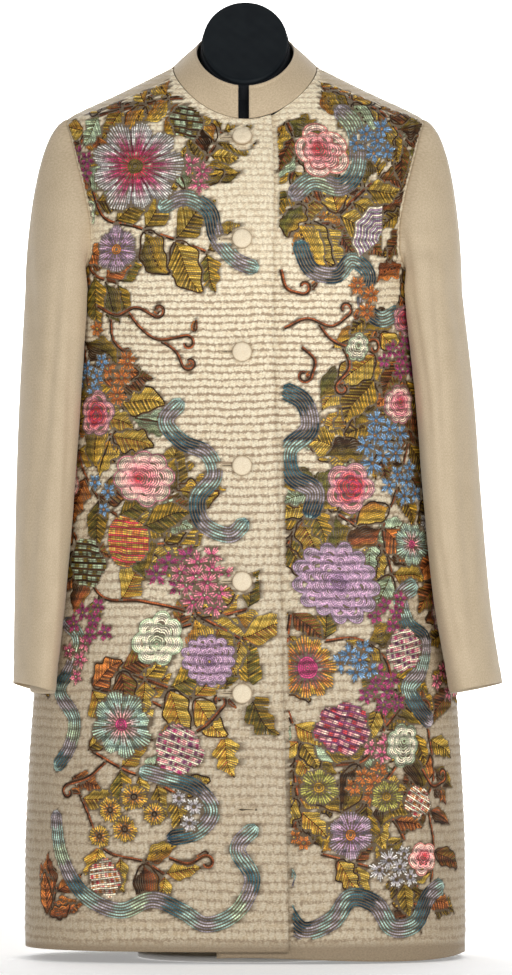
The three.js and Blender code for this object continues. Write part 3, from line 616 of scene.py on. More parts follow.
# The collar: straight from its foot to its rim, swollen a little, with a stitched line by the rim and ends.
def makeCollar():
    foot, top = [
        np.vstack([
            half(collarShape["leftEnd"], 1, collarShape["columns"]),
            half(collarShape["rightEnd"], -1, collarShape["columns"])[::-1][1:],
        ])
        for half in (collarFoot, collarRim)
    ]
    along = np.gradient(foot, axis=0)
    along /= np.linalg.norm(along, axis=1, keepdims=True)
    up = top - foot
    up -= along * (up * along).sum(1, keepdims=True)
    up /= np.linalg.norm(up, axis=1, keepdims=True)
    onRib = ribShape["height"] * np.maximum(0, (up * outwardOf(body, foot)).sum(1, keepdims=True))
    start = foot + up * (0.9 + onRib)
    t = np.linspace(0, 1, collarShape["rows"])[:, None, None]
    points = start + (top - start) * t
    normal = np.cross(np.gradient(points, axis=1), np.gradient(points, axis=0))
    normal /= np.linalg.norm(normal, axis=-1, keepdims=True)
    run = np.concatenate([[0], np.cumsum(np.linalg.norm(np.diff(top, axis=0), axis=1))])
    height = np.broadcast_to(t[..., 0], points.shape[:2])
    bulge = np.sin(height * math.pi)
    swell = 0.9 * bulge**1.5 + 0.5 * np.sin(run / 23 + 1.2 * height * 3) * bulge
    edge = -0.55 * np.exp(-(((height - 0.9) / 0.035) ** 2)) + 0.5 * np.exp(-(((height - 0.97) / 0.03) ** 2))
    ends = np.minimum(run, run[-1] - run)[None, :]
    side = -0.5 * np.exp(-(((ends - 4.2) / 1.3) ** 2))
    points = points + normal * (swell * 0.7 + edge + side)[..., None]
    uv = np.stack([np.broadcast_to(run, height.shape), height * 40], -1) * 0.001
    piece = makeMesh("collar", points, gridFaces(*height.shape), uv=uv)
    thicken(piece, collarShape["cloth"])


makeCollar()

# The buttons' domes as (radius, height) pairs, the last part a curve from the rim to the crown.
domeFoot = [(0.05, 0.7), (8.4, 0.7), (9.9, 0.9), (10.6, 1.6), (10.75, 2.4)]
domeCurve = [(10.75 * math.cos(a) ** 0.62, 2.4 + 4.2 * math.sin(a)) for a in np.linspace(0.12, 1.5, 15)]
domeProfile = domeFoot + domeCurve + [(0.02, 6.62)]
shankProfile = [(1.2, -2.6), (1.2, 0.8)]
lipShape = {"radius": 0.66, "lift": 0.72, "beads": 32, "open": 1.0, "openMore": 0.9}


# Where a button stands: on the crests, square to the cloth.
def seatOf(across, z):
    turn = turnAt(np.array(float(across)), np.array(float(z)))
    p = sectionPoint(body, turn, np.array(float(z)))
    out = outwardOf(body, p)
    right = np.array([-out[1], out[0], 0.0])
    right /= np.linalg.norm(right)
    return p + out * ribShape["height"], np.stack([right, np.cross(out, right), out])


# The stitched lips of a buttonhole: a round bead that follows the slot's rim, wider where the shank passes.
def makeLips(name, height):
    left, right = slotEnds(height)
    turn = np.linspace(0, 2 * math.pi, 64, endpoint=False)
    x = (left + right) / 2 + ((right - left) / 2 + 0.3) * np.sign(np.cos(turn)) * np.abs(np.cos(turn)) ** 0.4
    wide = lipShape["open"] + lipShape["openMore"] * np.exp(-(((x - buttons["across"]) / 2.4) ** 2))
    z = height + wide * np.sin(turn)
    p = onCoat(turnAt(x, z), z, lipShape["lift"] + 0.1 * np.sin(turn * lipShape["beads"]))
    loop = np.vstack([p[-1:], p, p[:1]])
    grid = tubeGrid(loop, lipShape["radius"], 8, outwardOf(body, loop))[1:-1]
    faces = gridFaces(*grid.shape[:2], closed=True, turned=True, looped=True)
    makeMesh(name, grid, faces, uv=grid[..., ::2] * 0.001)


# A covered button: the dome, waved a little by its cloth's gathers, on its shank.
def makeButton(name, height, twist):
    dome = latheGrid(domeProfile, 56)
    gathers = np.sin(3 * np.arctan2(dome[..., 1], dome[..., 0]) + twist)
    dome[..., 2] += 0.18 * gathers * (dome[..., 2] > 2)
    grid = np.vstack([latheGrid(shankProfile, 56), dome])
    place, axes = seatOf(buttons["across"], height)
    makeMesh(name, place + grid @ axes, gridFaces(*grid.shape[:2], closed=True), uv=grid[..., :2] * 0.001)


lipPieces = []
for i, height in enumerate(buttons["heights"] + buttons["spareHole"]):
    lipPieces.append("lips" + str(i + 1))
    makeLips(lipPieces[-1], height)
for i, height in enumerate(buttons["heights"]):
    makeButton("button" + str(i + 1), height, i * 1.3)

# The form: its torso's sections, and its neck with the slanted cap's plane, whose height grows with y.
torsoTable = {
    "z": [236, 244, 320, 400, 470, 540, 600, 660, 710, 760, 810, 850],
    "half": [150, 160, 167, 160, 141, 126, 130, 144, 156, 162, 168, 176],
    "front": [102, 108, 112, 108, 99, 94, 99, 112, 120, 118, 108, 97],
    "back": [102, 109, 116, 110, 97, 88, 88, 92, 97, 100, 101, 99],
    "power": [2.2, 2.25, 2.3, 2.3, 2.25, 2.2, 2.2, 2.2, 2.2, 2.2, 2.2, 2.2],
}
neckShape = {"halfWidth": 47, "halfDepth": 52, "middle": -6, "front": 939, "slant": 0.88, "round": 120}
neckSteps = [
    (95, 5), (70, 4.6), (50, 4), (25, 2.25), (12, 1.2), (6, 0.5), (2.4, 0.2), (0.8, 0), (0.1, -0.7),
    (0, -1.6),
    (0, -20),
]
capSteps = [
    (-0.45, -25), (-0.45, -2.3), (-0.7, -1.7), (-1.2, -1.5), (-4, -1.5), (-4.6, -1.8), (-4.95, -2.7),
    (-5, -4),
    (-5, -25),
]
standParts = {
    "standPole": [
        (0.1, 17.5), (32, 17.5), (32, 22), (31, 22.6), (18, 26), (15, 30), (14, 36), (14, 219), (16, 223),
        (20, 227.5), (44, 230), (45, 231), (45, 235), (0.1, 235.5),
    ],
    "standBase": [
        (0.1, 10), (112.5, 10), (114.4, 10.6), (115, 12), (115, 14.4), (114.2, 16), (111, 17), (0.1, 17),
    ],
}
ringTurn = np.linspace(0, 2 * math.pi, neckShape["round"], endpoint=False)


# The neck's rings are parallel to its slanted cap: height = cap's plane less a depth.
def neckRing(below, grow):
    x = (neckShape["halfWidth"] + grow) * np.sin(ringTurn)
    y = neckShape["middle"] - (neckShape["halfDepth"] + grow) * np.cos(ringTurn)
    fromFront = y + (neckShape["halfDepth"] - neckShape["middle"])
    return np.stack([x, y, neckShape["front"] + neckShape["slant"] * fromFront - below], -1)


# The torso follows its own sections to the chest, and from there the coat's, sunk in under the cloth.
def makeTorso():
    count = len(ringTurn)
    heights = np.concatenate([[236, 238, 241], np.linspace(246, 850, 70)])
    rings = [np.stack([0 * ringTurn, 0 * ringTurn, 0 * ringTurn + 237], -1)]
    rings += [sectionPoint(torsoTable, ringTurn, np.full(count, z)) for z in heights]
    sink = 3.5 + 4 * easeStep(np.cos(ringTurn) * 1.6 - 0.6)
    rings.append(onCoat(ringTurn, np.full(count, 905.0), -sink) * [0.97, 0.97, 1] - [0, 0, 4])
    rings += [onCoat(ringTurn, np.full(count, z), -sink) for z in (910.0, 919.0, 929.0, 940.0, 950.0)]
    rings.append(rings[-1] * [0, 0, 1] + [0, neckShape["middle"], -1])
    makeMesh("formTorso", np.array(rings), gridFaces(len(rings), count, closed=True))


# The neck ends in its own plane's middle; the cap is closed at its underside and its crown.
def makeNeck():
    height = neckShape["front"] + neckShape["slant"] * neckShape["halfDepth"]
    middle = np.tile([0.0, neckShape["middle"], height], (len(ringTurn), 1))
    neck = np.array([neckRing(*step) for step in neckSteps] + [middle])
    makeMesh("formNeck", neck, gridFaces(len(neck), len(ringTurn), closed=True))
    cap = np.array([middle + [0, 0, 0.5]] + [neckRing(*step) for step in capSteps] + [middle + [0, 0, 5]])
    makeMesh("neckCap", cap, gridFaces(len(cap), len(ringTurn), closed=True))


makeTorso()
makeNeck()
for name, profile in standParts.items():
    grid = latheGrid(profile, 96)
    makeMesh(name, grid, gridFaces(*grid.shape[:2], closed=True))
print("collar, buttons and form made")

# The embroidery: rows of chain stitch on the fronts, placed by run and height in mm.
# The thread's colours by name, as screen values, turned to linear light below.
tones = {
    "gold": "bb9030", "straw": "cfae50", "olive": "7a6524", "moss": "67622a", "bark": "44290f",
    "rust": "98502a", "sage": "a9b690",
    "mint": "b9c9a8", "aqua": "a2bbae", "teal": "41676e", "navy": "213c48", "mist": "a3989c",
    "plum": "7a3b60", "magenta": "b8406e",
    "pink": "ea9c9c", "blush": "f2c8b8", "red": "cc4248", "cream": "ebdfc4", "chalk": "d8d4cc",
    "lilac": "c39fb4", "violet": "9a7696",
    "orange": "d2813a", "yellow": "dcb145", "lime": "b5b15c", "sky": "86a9c6", "denim": "56789c",
}
for name, code in tones.items():
    value = np.array([int(code[k : k + 2], 16) for k in (0, 2, 4)]) / 255
    tones[name] = np.where(value < 0.04045, value / 12.92, ((value + 0.055) / 1.055) ** 2.4)
chance = np.random.default_rng(27)
stitch = {
    "pitch": 1.7, "shortest": 2.2, "length": 2.7, "tone": (0.68, 1.18),
    "halfWidth": 0.9, "lift": (0.14, 0.52, 0.14), "swell": 0.12,
}
clearance = {"hem": 14, "top": 950, "side": 0.03, "neck": 7, "lap": 5, "button": 13.5, "slot": (18, 4)}
worked = {side: {"points": [], "tone": [], "row": [], "along": [], "across": []} for side in (-1, 1)}
taken = {side: np.zeros((980, 720), bool) for side in (-1, 1)}
rowTotal = 0


# A colour run: tones[0] at share 0 to tones[-1] at share 1, mixed in between.
def blendTones(names, share):
    stops = np.stack([tones[n] for n in names])
    at = np.clip(share, 0, 1) * (len(stops) - 1)
    i = np.minimum(at.astype(int), len(stops) - 2) if len(stops) > 1 else np.zeros_like(at, int)
    k = np.minimum(i + 1, len(stops) - 1)
    return stops[i] + (stops[k] - stops[i]) * (at - i)[..., None]


# Where thread may lie on a front: clear of its edges, of the armhole and neckline, and of the buttons.
def mayStitch(side, p):
    run, z = p[:, 0], p[:, 1]
    lapRun = lapEdge(z)
    turn = np.abs(turnAtRun(run, z))
    inside = (z > hemRight + clearance["hem"]) & (z < clearance["top"])
    inside &= turn < frontOuter(np.clip(z, 24, 955)) - clearance["side"]
    neckline = neckAcross(np.maximum(z + clearance["neck"], neckFront)) * 1.03 + 3
    inside &= (z < neckFront - clearance["neck"]) | (np.abs(run) > neckline)
    inside &= (run < lapRun - clearance["lap"]) if side < 0 else (run > lapRun + clearance["lap"])
    inside &= shoulderStrip(sectionPoint(body, turn, z)[:, 0] + 3, z) < 0.1
    for height in buttons["heights"] + buttons["spareHole"]:
        nearSlot = (np.abs(z - height) < clearance["slot"][1]) & (np.abs(run + 11) < clearance["slot"][0])
        inside &= ~nearSlot & (np.hypot(run - buttons["across"], z - height) > clearance["button"])
    return inside


# Works a motif: each row is (points, tones), laid only where nothing lies yet, in 1 mm cells. A loose motif's
# radius is waved by three sines of the way round.
def work(side, rows, place=(0, 0), angle=0.0, loose=0.0, bright=1.0):
    global rowTotal
    c, s = math.cos(angle), math.sin(angle)
    spin = np.array([[c, s], [-s, c]])
    swell = chance.uniform(0, 6, 3)
    made = []
    for line, tone in rows:
        if loose:
            way = np.arctan2(line[:, 1], line[:, 0])
            wave = np.sin(2 * way + swell[0]) + 0.7 * np.sin(3 * way + swell[1])
            wave = wave + 0.4 * np.sin(5 * way + swell[2])
            line = line * (1 + loose * wave)[:, None]
        line = line @ spin + place
        length = np.linalg.norm(np.diff(line, axis=0), axis=1).sum()
        if length < stitch["shortest"]:
            continue
        count = max(3, int(length / stitch["pitch"]))
        at = np.linspace(0, 1, count)
        points = evenly(line, count)
        if np.ndim(tone) == 2:
            source = np.linspace(0, 1, len(line))
            tone = np.stack([np.interp(at, source, tone[:, k]) for k in range(3)], -1)
        rowTotal += 1
        step = np.gradient(points, axis=0)
        step /= np.linalg.norm(step, axis=1, keepdims=True) + 1e-9
        tone = np.broadcast_to(tone, (count, 3)) * chance.uniform(*stitch["tone"]) * bright
        across = np.stack([-step[:, 1], step[:, 0]], -1)
        made.append((points, tone, np.full(count, rowTotal), at * length / stitch["length"], across))
    if not made:
        return
    points, tone, row, along, across = [np.concatenate(part) for part in zip(*made)]
    i = np.clip(np.round(points[:, 1]).astype(int), 2, 976)
    j = np.clip(np.round(points[:, 0]).astype(int) + 360, 2, 716)
    free = ~taken[side][i, j] & mayStitch(side, points)
    for key, value in zip(worked[side], (points, tone, np.where(free, row, -1), along, across)):
        worked[side][key].append(value)
    i, j = i[free], j[free]
    for k in range(9):
        taken[side][i + k // 3 - 1, j + k % 3 - 1] = True


# A smooth path through points: Catmull-Rom, half of
# 2 b + (c - a) t + (2 a - 5 b + 4 c - d) t2 + (3 b - a - 3 c + d) t3.
def smoothPath(points, pitch=3.0):
    p = np.asarray(points, float)
    p = np.vstack([2 * p[0] - p[1], p, 2 * p[-1] - p[-2]])
    t = np.linspace(0, 1, 16, endpoint=False)[None, :, None]
    a, b, c, d = p[:-3, None], p[1:-2, None], p[2:-1, None], p[3:, None]
    path = 0.5 * (2 * b + (c - a) * t + (2 * a - 5 * b + 4 * c - d) * t**2 + (3 * b - a - 3 * c + d) * t**3)
    path = np.vstack([path.reshape(-1, 2), p[-2]])
    length = np.linalg.norm(np.diff(path, axis=0), axis=1).sum()
    return evenly(path, max(6, int(length / pitch)))


# The unit vectors square to a path.
def sideways(path):
    step = np.gradient(path, axis=0)
    step /= np.linalg.norm(step, axis=1, keepdims=True)
    return np.stack([-step[:, 1], step[:, 0]], -1)


# A ribbon: lines side by side along a path, shaded in bands along it and darker at one edge.
def ribbonRows(points, names, lines=7, pitch=2.5, band=17.0):
    path = smoothPath(points)
    across = sideways(path)
    along = np.concatenate([[0], np.cumsum(np.linalg.norm(np.diff(path, axis=0), axis=1))])
    taper = np.minimum(1, np.minimum(along, along[-1] - along) / 9 + 0.35)[:, None]
    rows = []
    for k in range(lines):
        share = k / (lines - 1) - 0.5
        wave = (along + 2.2 * math.sin(k * 2.1)) / band
        number = np.floor(wave).astype(int)
        tone = np.stack([tones[names[n % len(names)]] for n in number])
        following = np.stack([tones[names[(n + 1) % len(names)]] for n in number])
        tone = tone + (following - tone) * easeStep((wave - number - 0.86) / 0.14)[:, None]
        tone = tone * (0.66 + 0.36 * math.cos(share * 2.4))
        rows.append((path + across * share * lines * pitch * taper, tone))
    return rows


# A leaf: slanted rows from a curved midrib to an outline w = width sin(pi t^0.8)^0.9, light on one side,
# or else rows along the midrib.
def leafRows(length, width, names, bend=0.15, hatch=True, outlined=False):
    rows = []
    t = np.linspace(0, 1, 24)
    rib = np.stack([t * length, bend * length * np.sin(t * math.pi * 0.9) * t], -1)
    lobes = chance.choice([0.07, 0.12, 0.26])
    half = width / 2 * np.sin(math.pi * t**0.8) ** 0.9 * (1 + lobes * np.sin(t * 19 + 1))
    if hatch:
        for way in (-1, 1):
            for i, a in enumerate(np.arange(0.03, 0.93, 2.25 / length)):
                b = min(a + 0.2 * (1 - a) + 0.05, 0.995)
                start, end = [np.array([np.interp(at, t, rib[:, k]) for k in (0, 1)]) for at in (a, b)]
                end[1] += way * np.interp(b, t, half)
                share = (0.0 if way < 0 else 0.4) + 0.45 * (i % 2) + 0.1 * (i % 3)
                tone = blendTones(names, np.linspace(share, share + 0.35, 6))
                rows.append((np.linspace(start, end, 6), tone))
    else:
        count = max(1, int(width / 4.4))
        for k in range(-count, count + 1):
            keep = (half > abs(k) * 0.9) & (t > 0.05 * abs(k))
            if keep.sum() > 3:
                line = rib + np.stack([0 * t, half * k / (count + 0.2)], -1)
                rows.append((line[keep], blendTones(names, (0.5 + 0.5 * k / count) * 0.7 + 0.3 * t[keep])))
    rows.append((rib, tones["bark"]))
    if outlined:
        rows += [(rib + np.stack([0 * t, way * (half + 0.9)], -1), tones["bark"]) for way in (-1, 1)]
    return rows


# A rayed flower: rows from the heart out to a scalloped rim r = R (0.8 + 0.2 |cos(n a / 2)|).
def rayRows(radius, petals, names, heart, heartShare=0.2):
    rows = []
    count = int(2 * math.pi * radius / 2.9 / 2) * 2
    inner = radius * heartShare
    for ringRadius in np.arange(max(inner - 1.2, 1.4), 0.8, -2.1):
        a = np.linspace(0, 2 * math.pi, 22)
        rows.append((ringRadius * np.stack([np.cos(a), np.sin(a)], -1), tones[heart]))
    for i in range(count):
        a = 2 * math.pi * i / count
        petal = abs(math.cos(petals * a / 2))
        outer = radius * (0.78 + 0.22 * petal**0.7) * chance.uniform(0.97, 1.02)
        start = inner + (outer - inner) * (0.0, 0.42, 0.2, 0.6)[i % 4]
        r = np.linspace(start, outer, 9)
        turn = a + 0.06 * math.sin(a * 3) * r / radius
        share = (r - inner) / (radius - inner) * (1.5 - petal if i % 3 else 0.62)
        tone = blendTones(names, share) * (0.5 if petal < 0.2 else 1)
        rows.append((np.stack([r * np.cos(turn), r * np.sin(turn)], -1), tone))
    return rows


# A rose or dahlia: closed scalloped rings, r = q (1 - d (1 - |cos(n a / 2)|)), the petals' joints darker.
def ringRows(radius, tiers, names, dip=0.2, dark="plum", pitch=2.15, shift=0.22):
    rows = []
    a = np.linspace(0, 2 * math.pi, max(28, int(radius * 4)))
    for q in np.arange(radius, 1.2, -pitch):
        tier = min(int((1 - q / radius) * len(tiers)), len(tiers) - 1)
        petals, phase = tiers[tier], tier * 1.9 + radius
        joint = np.abs(np.cos(petals * (a + phase) / 2))
        r = q * (1 - dip * (1 - joint) ** 1.2)
        local = ((1 - q / radius) * len(tiers)) % 1
        tone = blendTones(names, np.full(len(a), 0.05 + 0.95 * (1 - q / radius) + 0.15 * local))
        firstRing = local < pitch / radius * len(tiers) * 0.75
        shade = np.maximum(easeStep((0.3 - joint) / 0.3), 0.9 * firstRing)[:, None] * 0.75
        centre = shift * (radius - q) * easeStep((radius - q) / radius)
        line = np.stack([r * np.cos(a) + centre, r * 0.9 * np.sin(a)], -1)
        rows.append((line, tone * (1 - shade) + tones[dark] * shade))
    return rows


# A checked bloom: level rows within a scalloped outline, changing colour in a grid.
def checkRows(radius, petals, names, line, cell=6.5):
    rows = []
    for y in np.arange(-radius + 1, radius, 2.1):
        x = np.linspace(-radius, radius, int(radius * 1.4))
        a, r = np.arctan2(y, x), np.hypot(x, y)
        keep = r < radius * (0.84 + 0.16 * np.abs(np.cos(petals * a / 2)))
        if keep.sum() < 3:
            continue
        x = x[keep]
        tone = blendTones(names, (np.floor(x / cell) + math.floor(y / cell)) % 3 / 2)
        upright = np.abs(x % cell - cell / 2) > cell / 2 - 0.8
        level = abs(y % cell - cell / 2) > cell / 2 - 1.05
        rows.append((np.stack([x, 0 * x + y], -1), np.where((upright | level)[:, None], tones[line], tone)))
    return rows


# A small star: a few short rows for each petal, round a dot.
def starRows(radius, petals, name, heart, tip=None):
    a = np.linspace(0, 2 * math.pi, 10)
    rows = [(1.1 * np.stack([np.cos(a), np.sin(a)], -1), tones[heart])]
    for i in range(petals):
        for offset in (-0.26, 0, 0.26):
            turn = 2 * math.pi * i / petals + offset + 0.3
            r = np.linspace(2.4, radius * (1 - abs(offset) * 0.8), 5)
            tone = blendTones([name, tip or name], np.linspace(0, 1, 5))
            rows.append((np.stack([r * np.cos(turn), r * np.sin(turn)], -1), tone))
    return rows


# A fan: arcs about a corner, in alternate colours, with a scalloped rim.
def fanRows(radius, names, spread=1.1, cells=5):
    rows = []
    a = np.linspace(-spread, spread, 40)
    for i, q in enumerate(np.arange(radius, 4, -2.2)):
        wave = 1 - 0.1 * np.abs(np.sin(a * cells))
        ridge = 0.7 + 0.3 * np.abs(np.cos(a * cells + math.pi / 2))
        tone = blendTones(names, np.full(40, (i % 4) / 3)) * ridge[:, None]
        rows.append((np.stack([q * wave * np.cos(a), q * wave * np.sin(a)], -1), tone))
    return rows


# A stem or tendril: lines side by side, ending in a curl whose radius falls from 8 mm to 2.5 mm.
def stemRows(points, names=("bark", "rust"), lines=2, curl=0):
    path = smoothPath(points)
    if curl:
        heading = math.atan2(*(path[-1] - path[-2])[::-1])
        a = np.linspace(0, 4.9, 26)
        r = 8 - 5.2 * a / 4.9
        centre = path[-1] + 8 * np.array([-math.sin(heading), math.cos(heading)]) * curl
        turn = heading - curl * math.pi / 2 + curl * a
        path = np.vstack([path, centre + r[:, None] * np.stack([np.cos(turn), np.sin(turn)], -1)])
    across = sideways(path)
    rows = []
    for k in range(lines):
        tone = blendTones(names, np.full(len(path), k / max(lines - 1, 1)))
        rows.append((path + across * (k - (lines - 1) / 2) * 1.8, tone))
    return rows


# The kinds of flower, each as rows for a radius.
flowerKinds = {
    "bigRays": lambda r: rayRows(r, 9, ["red", "magenta", "chalk", "chalk", "mist"], "olive", 0.17),
    "aquaRays": lambda r: rayRows(r, 8, ["pink", "aqua", "mint", "aqua"], "magenta", 0.2),
    "lilacRays": lambda r: rayRows(r, 6, ["violet", "lilac", "mist", "lilac"], "orange", 0.24),
    "goldRays": lambda r: rayRows(r, 11, ["plum", "orange", "yellow", "gold"], "magenta", 0.36),
    "limeRays": lambda r: rayRows(r, 7, ["olive", "lime", "straw"], "gold", 0.3),
    "daisy": lambda r: rayRows(r, 8, ["orange", "yellow", "straw"], "bark", 0.3),
    "rose": lambda r: ringRows(r, [5, 6, 5, 3], ["cream", "blush", "pink", "red"], 0.24, "red"),
    "redRose": lambda r: ringRows(r, [5, 5, 4, 3], ["blush", "pink", "red", "red"], 0.22, "plum"),
    "peony": lambda r: ringRows(r, [8, 7, 5], ["sage", "blush", "pink", "red"], 0.16, "magenta"),
    "dahlia": lambda r: ringRows(
        r, [13, 12, 10, 8, 5], ["mist", "lilac", "lilac", "violet"], 0.2, "violet", shift=0.05,
    ),
    "creamBloom": lambda r: ringRows(r, [7, 6, 5], ["mint", "cream", "cream", "sage"], 0.2, "sage"),
    "magentaCheck": lambda r: checkRows(r, 6, ["magenta", "pink", "plum"], "cream"),
    "pinkCheck": lambda r: checkRows(r, 7, ["pink", "blush", "red"], "plum"),
    "redCheck": lambda r: checkRows(r, 5, ["red", "orange", "rust"], "cream", 5.5),
    "sageCheck": lambda r: checkRows(r, 6, ["sage", "mint", "olive"], "bark"),
    "plaidCheck": lambda r: checkRows(r, 3, ["yellow", "straw", "orange"], "red"),
    "fan": lambda r: fanRows(r, ["cream", "lilac", "chalk", "violet"]),
    "blueStar": lambda r: starRows(r, 5, "denim", "orange", "sky"),
    "pinkStar": lambda r: starRows(r, 5, "magenta", "cream", "pink"),
    "plumStar": lambda r: starRows(r, 5, "plum", "gold", "magenta"),
    "rustStar": lambda r: starRows(r, 6, "rust", "yellow", "orange"),
    "chalkStar": lambda r: starRows(r, 6, "mist", "olive", "chalk"),
}
leafTones = {
    "olive": ["bark", "olive", "gold", "straw"], "gold": ["rust", "gold", "straw"],
    "moss": ["bark", "moss", "olive", "gold"],
    "sage": ["moss", "sage", "mint"], "rust": ["bark", "rust", "orange"],
    "brown": ["bark", "bark", "olive", "gold"],
    "umber": ["bark", "bark", "rust", "olive"],
}
ribbonTones = {
    "sea": ["aqua", "mist", "aqua", "teal", "navy", "mist"],
    "night": ["teal", "navy", "mist", "navy", "aqua"],
    "pale": ["mist", "aqua", "mint", "mist", "teal", "aqua"],
}

# The layout of each front: flowers first, since they lie over the ribbons, and those over stems and leaves.
flowers = {
    -1: [
        ("bigRays", -118, 852, 50), ("sageCheck", -62, 900, 19), ("lilacRays", -142, 764, 25),
        ("creamBloom", -188, 800, 20),
        ("peony", -108, 522, 33), ("redRose", -166, 590, 24), ("plaidCheck", -126, 455, 27),
        ("sageCheck", -176, 432, 26),
        ("creamBloom", -92, 352, 29), ("dahlia", -38, 330, 29), ("aquaRays", -132, 262, 34),
        ("magentaCheck", -70, 236, 27),
        ("daisy", -118, 186, 14), ("daisy", -144, 172, 13), ("daisy", -96, 168, 12),
        ("daisy", -128, 152, 14), ("daisy", -156, 144, 12),
        ("redCheck", -150, 100, 20), ("rose", -214, 520, 26),
        ("goldRays", -236, 420, 24), ("dahlia", -226, 690, 24),
        ("rustStar", -196, 700, 10), ("rustStar", -168, 680, 9),
    ],
    1: [
        ("rose", 82, 868, 31), ("fan", 152, 776, 36), ("redRose", 112, 512, 28), ("dahlia", 98, 412, 47),
        ("goldRays", 66, 322, 32),
        ("pinkCheck", 104, 258, 30), ("limeRays", 78, 196, 20), ("lilacRays", 112, 146, 25),
        ("limeRays", 152, 186, 17),
        ("peony", 176, 600, 22), ("magentaCheck", 176, 340, 24), ("aquaRays", 190, 452, 24),
        ("creamBloom", 172, 240, 22),
        ("redCheck", 190, 180, 18), ("dahlia", 236, 560, 24), ("peony", 244, 380, 27),
        ("goldRays", 232, 700, 22), ("rose", 196, 120, 19), ("creamBloom", 122, 660, 14),
        ("redRose", 186, 690, 16),
    ],
}
stars = {
    -1: [
        ("pinkStar", -50, 846, 16, 5, 9), ("pinkStar", -44, 412, 30, 16, 10),
        ("plumStar", -72, 424, 26, 9, 9), ("blueStar", -172, 630, 24, 7, 8),
        ("rustStar", -142, 628, 28, 7, 9), ("blueStar", -156, 508, 22, 5, 7),
        ("plumStar", -172, 372, 26, 8, 8), ("chalkStar", -60, 176, 20, 4, 8),
        ("pinkStar", -190, 330, 24, 6, 8), ("blueStar", -240, 600, 30, 8, 8),
        ("pinkStar", -250, 500, 28, 8, 8),
        ("plumStar", -182, 860, 16, 4, 8), ("chalkStar", -206, 750, 22, 6, 8),
    ],
    1: [
        ("blueStar", 138, 880, 22, 8, 9), ("blueStar", 150, 560, 28, 12, 10),
        ("blueStar", 178, 518, 24, 8, 9), ("blueStar", 118, 330, 20, 9, 9),
        ("plumStar", 148, 296, 24, 10, 8), ("rustStar", 134, 200, 20, 7, 9),
        ("chalkStar", 162, 112, 22, 8, 9), ("plumStar", 176, 650, 24, 8, 8),
        ("pinkStar", 142, 230, 18, 6, 8), ("rustStar", 132, 716, 20, 4, 8),
        ("plumStar", 160, 380, 22, 7, 8), ("chalkStar", 238, 480, 28, 8, 8),
        ("rustStar", 240, 640, 26, 8, 8), ("pinkStar", 246, 310, 26, 8, 8), ("rustStar", 58, 138, 10, 3, 7),
    ],
}
ribbons = {
    -1: [
        ("sea", [(-92, 806), (-64, 818), (-38, 804), (-30, 776), (-10, 752), (14, 742)]),
        ("sea", [
            (-66, 604), (-84, 582), (-66, 560), (-40, 548), (-32, 524), (-50, 500), (-44, 474),
            (-16, 462), (2, 478),
        ]),
        ("pale", [
            (-208, 372), (-186, 352), (-196, 322), (-212, 296), (-190, 268), (-196, 236),
            (-216, 214),
        ]),
        ("sea", [(-112, 214), (-82, 206), (-52, 196), (-34, 172), (-50, 150), (-82, 142)]),
        ("pale", [
            (-214, 170), (-204, 124), (-176, 84), (-134, 66), (-98, 78), (-66, 66), (-40, 52),
            (-8, 66), (8, 100), (-8, 132), (12, 156),
        ]),
    ],
    1: [
        ("pale", [(48, 818), (72, 836), (102, 830), (120, 850), (118, 892), (98, 916)]),
        ("night", [
            (56, 772), (70, 742), (98, 736), (116, 752), (136, 736), (130, 706), (152, 690),
            (180, 700),
        ]),
        ("night", [(38, 616), (62, 602), (68, 574), (46, 552), (50, 524), (74, 508), (68, 480)]),
        ("sea", [
            (196, 410), (172, 396), (182, 366), (206, 350), (198, 318), (180, 300), (196, 276),
            (214, 262),
        ]),
        ("sea", [
            (46, 112), (40, 76), (60, 46), (92, 56), (112, 80), (140, 72), (158, 48), (186, 52),
            (204, 80), (228, 92),
        ]),
    ],
}
tendrils = {
    -1: [
        ([(-168, 704), (-142, 694), (-118, 702), (-96, 692)], 1),
        ([(-128, 698), (-112, 680), (-92, 668), (-62, 672)], -1),
        ([(-92, 668), (-74, 656), (-66, 640)], 1), ([(-150, 690), (-146, 668), (-128, 652)], -1),
        ([(-60, 250), (-40, 262), (-22, 282)], 1),
        ([(-150, 222), (-170, 206), (-198, 198)], 1), ([(-80, 122), (-60, 116), (-44, 124)], -1),
    ],
    1: [
        ([(42, 680), (66, 690), (92, 682), (112, 694)], 1),
        ([(76, 688), (92, 668), (116, 660), (140, 668)], -1),
        ([(60, 660), (74, 646), (70, 628)], -1), ([(104, 662), (112, 640), (98, 622)], 1),
        ([(152, 260), (176, 284), (204, 286)], -1),
        ([(196, 214), (212, 196), (232, 200)], 1), ([(38, 742), (44, 722), (60, 716)], 1),
    ],
}
